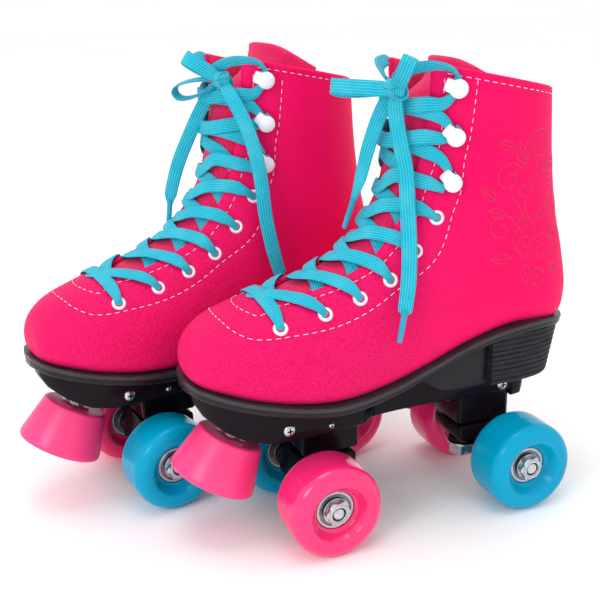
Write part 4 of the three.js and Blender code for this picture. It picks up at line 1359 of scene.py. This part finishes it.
def tyre(foot, name, color, centre, axis):
    shape = Shape()
    edge = WHEEL_HALF_WIDTH
    bore = BEARING_RADIUS + 0.4
    dish = [
        (bore, 0), (bore, BEARING_FACE + 0.4), (12.6, BEARING_FACE + 0.5), (13.6, BEARING_FACE + 1.5),
        (DISH_RADIUS - 0.3, edge - 0.2), (DISH_RADIUS + 2.2, edge + 0.05), (21.2, edge - 0.15),
    ]
    half = [(p.x, p.y) for p in fillet(dish, [0, 0.5, 0.8, 1.2, 1.3, 1.2, 0], 4)]
    for k in range(1, 13):
        angle = math.pi / 2 * (1 - k / 12)
        out, up = WHEEL_EDGE * (1 - math.cos(angle)), WHEEL_EDGE * (1 - math.sin(angle))
        half.append((WHEEL_RADIUS - out, edge - up))
    half += [(WHEEL_RADIUS, 2.0), (WHEEL_RADIUS, 0.35), (WHEEL_RADIUS + 0.06, 0)]
    spin(shape, [*half, *[(r, -y) for r, y in reversed(half)]], centre, axis, 96)
    looks, slot = [f"{color}_wheel"], f"wheel_{color}"
    make(foot, f"{name}_tyre", f"{name}_roller", shape, looks, [f"{name}_wheel"], 55)


def bearings(foot, name, centre, axis):
    """Two ball bearings and the spacer between them."""
    shape = Shape()
    outer_race = [(9.4, 1.6), (11.2, 1.6), (11.2, 8.3), (9.4, 8.3), (9.2, 7.8), (9.2, 1.6)]
    inner_race = [(4.3, 1.6), (4.3, 8.3), (6.0, 8.3), (6.2, 7.8), (6.2, 1.6)]
    outer = fillet(outer_race, [0, 0, 0.5, 0.3, 0, 0])
    inner = fillet(inner_race, [0, 0.3, 0.3, 0, 0])
    shield = fillet([(6.1, 7.7), (6.9, 7.55), (7.6, 7.75), (8.6, 7.6), (9.3, 7.7)], 0.3)
    for way in (1, -1):
        for profile, segments, slot in ((outer, 56, 0), (inner, 40, 0), (shield, 48, 1)):
            spin(shape, [(r, way * h) for r, h in profile], centre, axis, segments, slot)
    spin(shape, [(4.4, -1.8), (6, -1.8), (6, 1.8), (4.4, 1.8)], centre, axis, 32)
    looks, stands_for = ["bearing", "shield"], [f"{name}_bearings"]
    make(foot, f"{name}_ball_bearings", f"{name}_roller", shape, looks, stands_for)


def axle_hardware(foot, name, body, centre, axis):
    """The lock nut and washer outside a wheel, and the washer inside it."""
    nut = Shape()
    low = BEARING_FACE + 0.35
    washer = fillet([(4.5, low), (7.7, low), (7.7, low + 1.1), (4.5, low + 1.1)], [0, 0.3, 0.3, 0])
    spin(nut, washer, centre, axis, 40)
    spin(nut, hex_profile(13, low + 1.2, low + 4.8, 4.2), centre, axis, 48, 0, 13)
    collar = [(4.3, low + 4.5), (5.6, low + 4.5), (5.6, low + 5.3), (4.3, low + 5.4)]
    spin(nut, fillet(collar, [0, 0, 0.4, 0]), centre, axis, 36)
    make(foot, f"{name}_lock_nut", body, nut, ["steel"], [f"{name}_axle_nut"])
    spacer = Shape()
    inner = fillet([(4.4, -low - 0.2), (7.0, -low - 0.2), (7.2, -low + 0.4), (4.4, -low + 0.4)], 0.2)
    spin(spacer, inner, centre, axis, 32)
    make(foot, f"{name}_inner_washer", body, spacer, ["steel"])


def wheel(foot, end_name, end, side_name, side):
    """A wheel turns on its bearings. Its nut and washers turn with the truck."""
    name = f"{end_name}_{side_name}"
    centre = (end * AXLE_X, side * WHEEL_Y, WHEEL_RADIUS)
    axis = (0, side, 0)
    color = "pink" if (end > 0) == (side > 0) else "blue"
    tyre(foot, name, color, centre, axis)
    bearings(foot, name, centre, axis)
    axle_hardware(foot, name, f"{end_name}_truck", centre, axis)


# ---- Hardware on the boot ----------------------------------------------------


def local_axes(place, angle):
    """The surface's point, its normal, the way to the throat, and the way up the boot."""
    normal = boot_normal(place, angle)
    step = -0.03 if angle > 0 else 0.03
    inward = boot_point(place, angle + step) - boot_point(place, angle)
    inward = (inward - normal * inward.dot(normal)).normalized()
    return boot_point(place, angle), normal, inward, normal.cross(inward)


def hardware(foot):
    shape = Shape()
    eyelet = fillet([(2.3, -1.2), (2.3, 0.5), (2.9, 1.0), (3.7, 0.7), (4.1, 0.0), (4.1, -0.4)], 0.6, 4)
    for side in (1, -1):
        for place, from_centre in EYELETS:
            point, normal, _, _ = local_axes(place, angle_for(place, side * from_centre))
            spin(shape, eyelet, point, normal, 36)
            # A dark disc in each eyelet's hole: painted shade.
            spin(shape, [(0, -0.35), (2.4, -0.35)], point, normal, 20, 1)
        for place, from_centre in HOOKS:
            add_hook(shape, *local_axes(place, angle_for(place, side * from_centre)))
    make(foot, "hooks_and_eyelets", "skate", shape, ["enamel", "recess"])


HOOK_CAP = [(0, 6.9), (2.4, 6.6), (4.5, 5.6), (5.1, 4.7), (4.7, 4.2), (0, 4.1)]
# The neck's line, from the base out toward the throat and back under the cap.
HOOK_NECK = [(0.0, 0.6), (3.4, 0.7), (5.6, 1.3), (6.4, 2.8), (5.6, 4.5), (3.4, 5.2), (0.0, 5.3)]


def add_hook(shape, point, normal, inward, along):
    """A lace hook: base, a neck folded over on the throat's side, and a domed cap."""
    spin(shape, fillet([(0, 0.9), (3.6, 0.8), (4.2, -0.2)], 0.5), point, normal, 32)
    cap = fillet(HOOK_CAP, [0, 1.2, 1.4, 0.6, 0.5, 0], 5)
    spin(shape, cap, point - inward * 0.6, normal, 40)
    line = curve_through([Vector((out, up, 0)) for out, up in HOOK_NECK], 4)
    rows = []
    for i, p in enumerate(line):
        ahead = heading_at(line, i)
        ahead = (inward * ahead.x + normal * ahead.y).normalized()
        middle = point + inward * p.x + normal * p.y
        half = 3.6 - 0.4 * math.sin(math.pi * i / (len(line) - 1))
        rows.append(oval(middle, along, half, ahead.cross(along), 0.5, 10))
    shape.tube(rows)


def stitching(foot, lines):
    shape = Shape()
    for pairs in lines:
        add_stitches(shape, pairs)
    make(foot, "white_stitching", "skate", shape, ["thread"])


# ---- Laces -------------------------------------------------------------------

AGLET_LENGTH = 15
LOOP_HALF_DEPTH = 3.8  # half the room between a loop's two strands
LOOP_SHAPE = [(0.3, 0.8), (0.68, 1.1), (0.93, 0.75)]  # share of the way out, share of that depth
CAMERA_SIDE = (0.45, 0.88, 0.1)  # roughly the way from a bow to the camera
HOOK_STEP = 0.26  # how far along the boot a strand passes beside a hook's neck
# How far the middle of an upper strand sags, by the place along the boot where it starts.
SAG = [(5, 0.15), (6.5, 0.2), (7.5, 0.4), (8.5, 0.6), (9.64, 0.85), (10.86, 0.45), (13, 0.95)]


def ribbon(shape, points, across, widths, thickness=LACE_THICKNESS, steps=5):
    """A flat woven band along a line, with a width and a sideways direction at each point."""
    line = curve_through(points, steps)
    rows, values = [], []
    travelled = 0.0
    for i, p in enumerate(line):
        f = i / (len(line) - 1) * (len(points) - 1)
        k = min(int(f), len(points) - 2)
        ahead = heading_at(line, i).normalized()
        sideways = Vector(across[k]).lerp(Vector(across[k + 1]), f - k)
        sideways = (sideways - ahead * sideways.dot(ahead)).normalized()
        facing = ahead.cross(sideways)
        width = widths[k] + (widths[k + 1] - widths[k]) * (f - k)
        if i:
            travelled += (p - line[i - 1]).length
        depth = thickness * min(1.6, (LACE_WIDTH / width) ** 0.5)
        row, value = [], []
        for a in round_angles(12):
            out = math.copysign(abs(math.cos(a)) ** 0.75, math.cos(a)) * width / 2
            up = math.copysign(abs(math.sin(a)) ** 0.6, math.sin(a)) * depth / 2
            row.append(p + sideways * out + facing * up)
            value.append((travelled, out * LACE_WIDTH / width, 0))
        rows.append(row)
        values.append(value)
    shape.tube(rows, values={"strip": values})
    return line


def throat_span(shape, low, high, side, on_top):
    """A strand from under the flap on one side, over the tongue, up to the other side.

    The upper strand of each crossing sags toward the toe; the one beneath it is nearly straight.
    """
    (place_a, _), (place_b, out_b) = low, high
    to_hook = high in HOOKS
    pitch = place_b - place_a
    sag = smooth(SAG, place_a) if on_top else -0.12 * pitch
    gap_a = smooth(THROAT_HALF_GAP, place_a)
    gap_b = smooth(THROAT_HALF_GAP, place_b)
    under = -BOOT_WALL - 0.2
    lift = 1.5 if on_top else 0.2
    last = place_b - (HOOK_STEP + 0.1 if to_hook else 0)
    climb = [
        (0, place_a - sag),
        (11, place_a - 0.6 * sag + 0.28 * pitch),
        (19, place_a - 0.35 * sag + (0.35 if to_hook else 0.6) * pitch),
        (out_b, last),
    ]
    spots = [
        (place_a - 0.1 * sag, side * (gap_a + 4), under, 7.0),
        (place_a - 0.3 * sag, side * (gap_a - 0.5), under + 0.3, 7.6),
        (place_a - 0.8 * sag, side * gap_a * 0.6, -2.0 + lift, 8.0),
        (place_a - sag, 0, -0.6 + lift, 8.2),
    ]
    edge = gap_b + 1.5
    over = [(0.5 * gap_b, 0.3 + lift, 8.0), (edge, 1.7, 7.8), ((edge + out_b - 2) / 2, 2.1, 7.4)]
    if to_hook:
        over += [(out_b - 0.8, 2.6, 4.0)]
    else:
        over += [(out_b - 2, 1.7, 5.0), (out_b + 0.4, -0.8, 4.2)]
    for out, height, width in over:
        spots.append((smooth(climb, min(out, out_b)), -side * out, height, width))
    surface_ribbon(shape, spots)


def hook_span(shape, low, high, side, on_top):
    """A strand from a hook, sagging over the tongue, to the next hook up on the other side."""
    (place_a, out_a), (place_b, out_b) = low, high
    pitch = place_b - place_a
    sag = smooth(SAG, place_a)
    lift = 1.9 if on_top else 0.4
    spots = [
        (place_a + HOOK_STEP, side * (out_a - 0.8), 2.6, 4.0),
        (place_a + HOOK_STEP + 0.06 * pitch, side * (out_a - 3), 2.2, 6.2),
        (place_a + 0.08 * pitch, side * 0.74 * out_a, 2.0 + lift, 8.2),
        (place_a - 0.6 * sag, side * 0.35 * out_a, 2.2 + lift, 8.2),
        (place_a - sag, 0, 2.2 + lift, 8.2),
        (place_a - 0.6 * sag, -side * 0.3 * out_b, 2.2 + lift, 8.2),
        (place_a + 0.34 * pitch, -side * 0.7 * out_b, 2.0 + lift, 8.2),
        (place_b - HOOK_STEP - 0.3 * pitch, -side * (out_b - 4.5), 2.2, 6.8),
        (place_b - HOOK_STEP, -side * (out_b - 0.8), 2.6, 4.0),
    ]
    surface_ribbon(shape, spots)


def hook_wrap(shape, hook, side):
    """The lace round the outer side of a hook's neck, standing on its edge under the cap."""
    place, out = hook
    point, normal, inward, along = local_axes(place, angle_for(place, side * out))
    points = []
    for k in range(9):
        turn = math.pi * (k / 8 - 0.5) * 1.25
        outward = 3.6 * math.cos(turn) - 1.6
        points.append(point + normal * 2.5 - inward * outward + along * (4.0 * math.sin(turn)))
    ribbon(shape, points, [normal] * 9, [2.8] * 9, 1.6, 2)


def surface_ribbon(shape, spots):
    """A ribbon through (place, distance from the centreline, height, width) spots."""
    points, across, widths = [], [], []
    for place, out, height, width in spots:
        angle = angle_for(place, out)
        points.append(boot_point(place, angle) + boot_normal(place, angle) * height)
        widths.append(width)
    for i, (place, out, _, _) in enumerate(spots):
        normal = boot_normal(place, angle_for(place, out))
        across.append(normal.cross(heading_at(points, i)).normalized())
    ribbon(shape, points, across, widths)


# The first strand lies straight across the throat's toe end: distance out, height, width.
FIRST_BAR = [
    (-29.4, -0.8, 4.2), (-27, 1.5, 5.0), (-20, 1.6, 7.8), (-8, 1.5, 8.0),
    (8, 1.5, 8.0), (20, 1.6, 7.8), (27, 1.5, 5.0), (29.4, -0.8, 4.2),
]


def crossed_lace(foot):
    shape = Shape()
    first_place, bar_end = EYELETS[0][0], FIRST_BAR[-1][0]
    bar = []
    for out, height, width in FIRST_BAR:
        bar.append((first_place - 0.12 * (1 - abs(out) / bar_end), out, height, width))
    surface_ribbon(shape, bar)
    upper_side = -1 if foot == "left" else 1
    for holders, span in (([*EYELETS, HOOKS[0]], throat_span), (HOOKS, hook_span)):
        for low, high in zip(holders, holders[1:]):
            for side in (1, -1):
                span(shape, low, high, side, side == upper_side)
    knot = turned_over(foot, BOWS[foot]["knot"])
    for side in (1, -1):
        for hook in HOOKS:
            hook_wrap(shape, hook, side)
        lace_to_knot(shape, side, knot)
    make(foot, "lace_crossed", "skate", shape, ["lace"], ["lace_threaded"], 50)


def lace_to_knot(shape, side, knot):
    """From the top hook the lace arches up over the throat's corner and down to the knot."""
    place, out = HOOKS[-1]
    point, normal, _, along = local_axes(place, angle_for(place, side * out))
    start = point + normal * 2.6 + along * math.copysign(4.0, along.z)
    points = [
        start,
        start + Vector((4, -side * 1.5, 5.5)),
        Vector((-5, side * 26.5, 258.5)),
        Vector((4, side * 21, 258.5)).lerp(knot, 0.12),
        Vector((9, side * 10, 255)).lerp(knot, 0.4),
        knot,
    ]
    first, later = Vector((0.5, side * 0.6, 0.6)), Vector((0.55, side * 0.35, 0.75))
    across = [first, first, later, later, later, Vector(ROW_UP)]
    ribbon(shape, points, across, [4.2, 5.6, 7.4, 8.0, 7.2, 6.0])


# The bow of each skate, with +Y toward the wearer's left on both, as in the CAD:
# the knot, each tail's points with the way its width lies from knot to tip, and each
# loop's tip with the way its two strands lie apart.
BOWS = {
    "left": {
        "knot": (13, 19, 247),
        "tails": [
            (
                [(13, 19, 247), (13, 18, 238), (11, 18, 225), (9, 23, 205), (10, 28, 184), (12, 34, 164),
                 (15, 39, 148), (19, 43, 134), (23, 45, 118)],
                [(-0.7, 0.6, 0), (-0.85, 0.5, 0), (-0.9, 0.4, 0)],
            ),
            (
                [(13, 19, 247), (15, 12, 240), (17, 5, 229), (20, 0, 214), (23, -3, 198), (27, -5, 184),
                 (31, -7, 170)],
                [(-0.6, 0.7, 0.2), (-0.6, 0.8, 0), (-0.5, 0.8, 0)],
            ),
        ],
        "loops": [((37, -9, 248), CAMERA_SIDE), ((13, 34, 264), CAMERA_SIDE)],
    },
    "right": {
        "knot": (4, 16, 247),
        "tails": [
            (
                [(4, 16, 247), (4, 25, 240), (0, 33, 226), (-4, 38, 208), (-6, 41, 190), (-7, 43, 170),
                 (-10, 45, 150), (-14, 46, 134), (-18, 46, 118)],
                [(-0.7, 0.6, 0), (-0.9, 0.3, 0), (-0.95, 0.2, 0)],
            ),
            (
                [(4, 16, 247), (8, 8, 240), (12, 0, 228), (18, -6, 212), (24, -10, 196), (29, -12, 178),
                 (32, -13, 157)],
                [(-0.7, 0.6, 0.2), (-0.9, 0.4, 0), (-0.9, 0.4, 0)],
            ),
        ],
        "loops": [((23, -10, 240), (0.1, 0.2, 1)), ((22, 5, 261), CAMERA_SIDE)],
    },
}


def spread(hints, count):
    """A few direction hints spread over count points."""
    made = []
    for i in range(count):
        f = i / (count - 1) * (len(hints) - 1)
        k = min(int(f), len(hints) - 2)
        made.append(Vector(hints[k]).lerp(Vector(hints[k + 1]), f - k))
    return made


def turned_over(foot, p):
    """A direction or place of a bow in its skate's own frame."""
    return Vector((p[0], -p[1] if foot == "right" else p[1], p[2]))


def bow_knot(foot, at):
    """Two turns of lace, one across the other."""
    knot = Shape()
    for turn, size in ((0.25, 5.2), (1.45, 4.6)):
        slant = turned_over(foot, (math.cos(turn), math.sin(turn) * 0.5, 0.2)).normalized()
        upward = turned_over(foot, (0.15, 0.1, 1)).normalized()
        points = []
        for a in [*round_angles(12), 2 * math.pi]:
            points.append(at + slant * (size * math.cos(a)) + upward * (size * 0.9 * math.sin(a)))
        across = [slant.cross(upward)] * len(points)
        ribbon(knot, points, across, [7.6] * len(points), 1.8, 3)
    return make(foot, "bow_knot", "skate", knot, ["lace"], ["lace_free_ends"], 50)


def free_laces(foot):
    """The knot, the two tails with their aglets and the bow's two loops."""
    bow = BOWS[foot]
    knot_at = turned_over(foot, bow["knot"])
    knot = bow_knot(foot, knot_at)
    for number, (route, hints) in enumerate(bow["tails"], 1):
        points = shortened([turned_over(foot, p) for p in route], AGLET_LENGTH)
        across = [turned_over(foot, h) for h in spread(hints, len(points))]
        widths = [6.0, *[LACE_WIDTH] * (len(points) - 3), 7.5, 3.2]
        band, line = lace_band(foot, f"bow_tail_{number}", points, across, widths)
        tip = aglet(foot, number, line)
    for number, (tip, outward) in enumerate(bow["loops"], 1):
        points, facing = loop_route(knot_at, turned_over(foot, tip), turned_over(foot, outward))
        widths = [6.0, *[LACE_WIDTH] * (len(points) - 2), 6.0]
        band, line = lace_band(foot, f"bow_loop_{number}", points, [facing] * len(points), widths)


def lace_band(foot, name, points, across, widths):
    shape = Shape()
    line = ribbon(shape, points, across, widths, LACE_THICKNESS, 6)
    return make(foot, name, "skate", shape, ["lace"], (), 50), line


def loop_route(knot, tip, outward):
    """Out to a loop's tip and back with a droop, and the way the band's width lies."""
    axis = tip - knot
    apart = outward - axis * outward.dot(axis) / axis.length_squared
    apart = apart.normalized() * LOOP_HALF_DEPTH
    droop = Vector((0, 0, -0.04 * axis.length))
    out = [knot + axis * way + apart * gap for way, gap in LOOP_SHAPE]
    back = [knot + axis * way - apart * gap for way, gap in reversed(LOOP_SHAPE)]
    back = [back[0] + droop, back[1] + droop, back[2]]
    return [knot, *out, tip, *back, knot], axis.cross(apart).normalized()


def shortened(points, amount):
    """A route cut back at its end."""
    made = list(points)
    while (made[-1] - made[-2]).length <= amount:
        amount -= (made[-1] - made[-2]).length
        made.pop()
    made[-1] = made[-1].lerp(made[-2], amount / (made[-1] - made[-2]).length)
    return made


def aglet(foot, number, line):
    """The film-wrapped tip at a tail's end."""
    heading = (line[-1] - line[-4]).normalized()
    shape = Shape()
    tip = fillet([(0, -2.5), (1.7, -2.5), (1.55, 9), (1.3, 15.2), (0, 15.6)], [0, 0.3, 0.3, 0.5, 0])
    spin(shape, tip, line[-1], heading, 20)
    return make(foot, f"aglet_{number}", "skate", shape, ["aglet"])


# ---- Putting the pair together -----------------------------------------------

for foot in FEET:
    free_laces(foot)

SEAMS = [surface_line(spots) for spots in seam_lines()]
seam_points = [point for pairs in SEAMS for point, _, _ in even(pairs, 1.0)]
SEAM_TREE = kdtree.KDTree(len(seam_points))
for index, point in enumerate(seam_points):
    SEAM_TREE.insert(point, index)
SEAM_TREE.balance()

for foot in FEET:
    boot_upper(foot, SEAM_TREE)
    backstay(foot)
    scroll(foot)
    stitching(foot, SEAMS)
    tongue(foot)
    footbed(foot)
    crossed_lace(foot)
    hardware(foot)
    sole(foot)
    chassis(foot)
    fasteners(foot)
    toe_stop(foot)
    for end_name, end in (("front", 1), ("rear", -1)):
        for part in (hanger, axle, kingpin, cushions):
            part(foot, end_name, end)
        for side_name, side in (("outer", 1), ("inner", -1)):
            wheel(foot, end_name, end, side_name, side)

# ---- Floor and light ---------------------------------------------------------

FLOOR_REACH = 6.0
LIGHT_TARGET = Vector((0, 0, 0.12))


def floor():
    paint = Paint("pale_floor", Roughness=0.8, Specular_IOR_Level=0.0)
    patches = paint.span(paint.noise(400, 2), 0.3, 0.7)
    mesh = bpy.data.meshes.new("floor")
    corners = [(x * FLOOR_REACH, y * FLOOR_REACH, 0) for x, y in ((-1, -1), (1, -1), (1, 1), (-1, 1))]
    mesh.from_pydata(corners, [], [(0, 1, 2, 3)])
    mesh.materials.append(paint.done(paint.mix(patches, (1, 1, 1, 1), (0.985, 0.985, 0.985, 1))))
    add_object("floor", mesh)


def area_light(name, place, size, power):
    data = bpy.data.lights.new(name, "AREA")
    data.shape = "DISK"
    data.size = size
    data.energy = power
    light = add_object(name, data)
    light.location = place
    light.rotation_euler = (LIGHT_TARGET - Vector(place)).to_track_quat("-Z", "Y").to_euler()


def daylight():
    world = bpy.data.worlds.new("studio")
    bpy.context.scene.world = world
    world.use_nodes = True
    background = world.node_tree.nodes["Background"]
    background.inputs["Color"].default_value = (1, 1, 1, 1)
    background.inputs["Strength"].default_value = 1.0


floor()
daylight()
area_light("key", (1.3, 0.9, 1.0), size=0.7, power=7)
area_light("top", (0.2, 0.1, 1.8), size=0.9, power=6)
bpy.context.scene.view_settings.view_transform = "Standard"
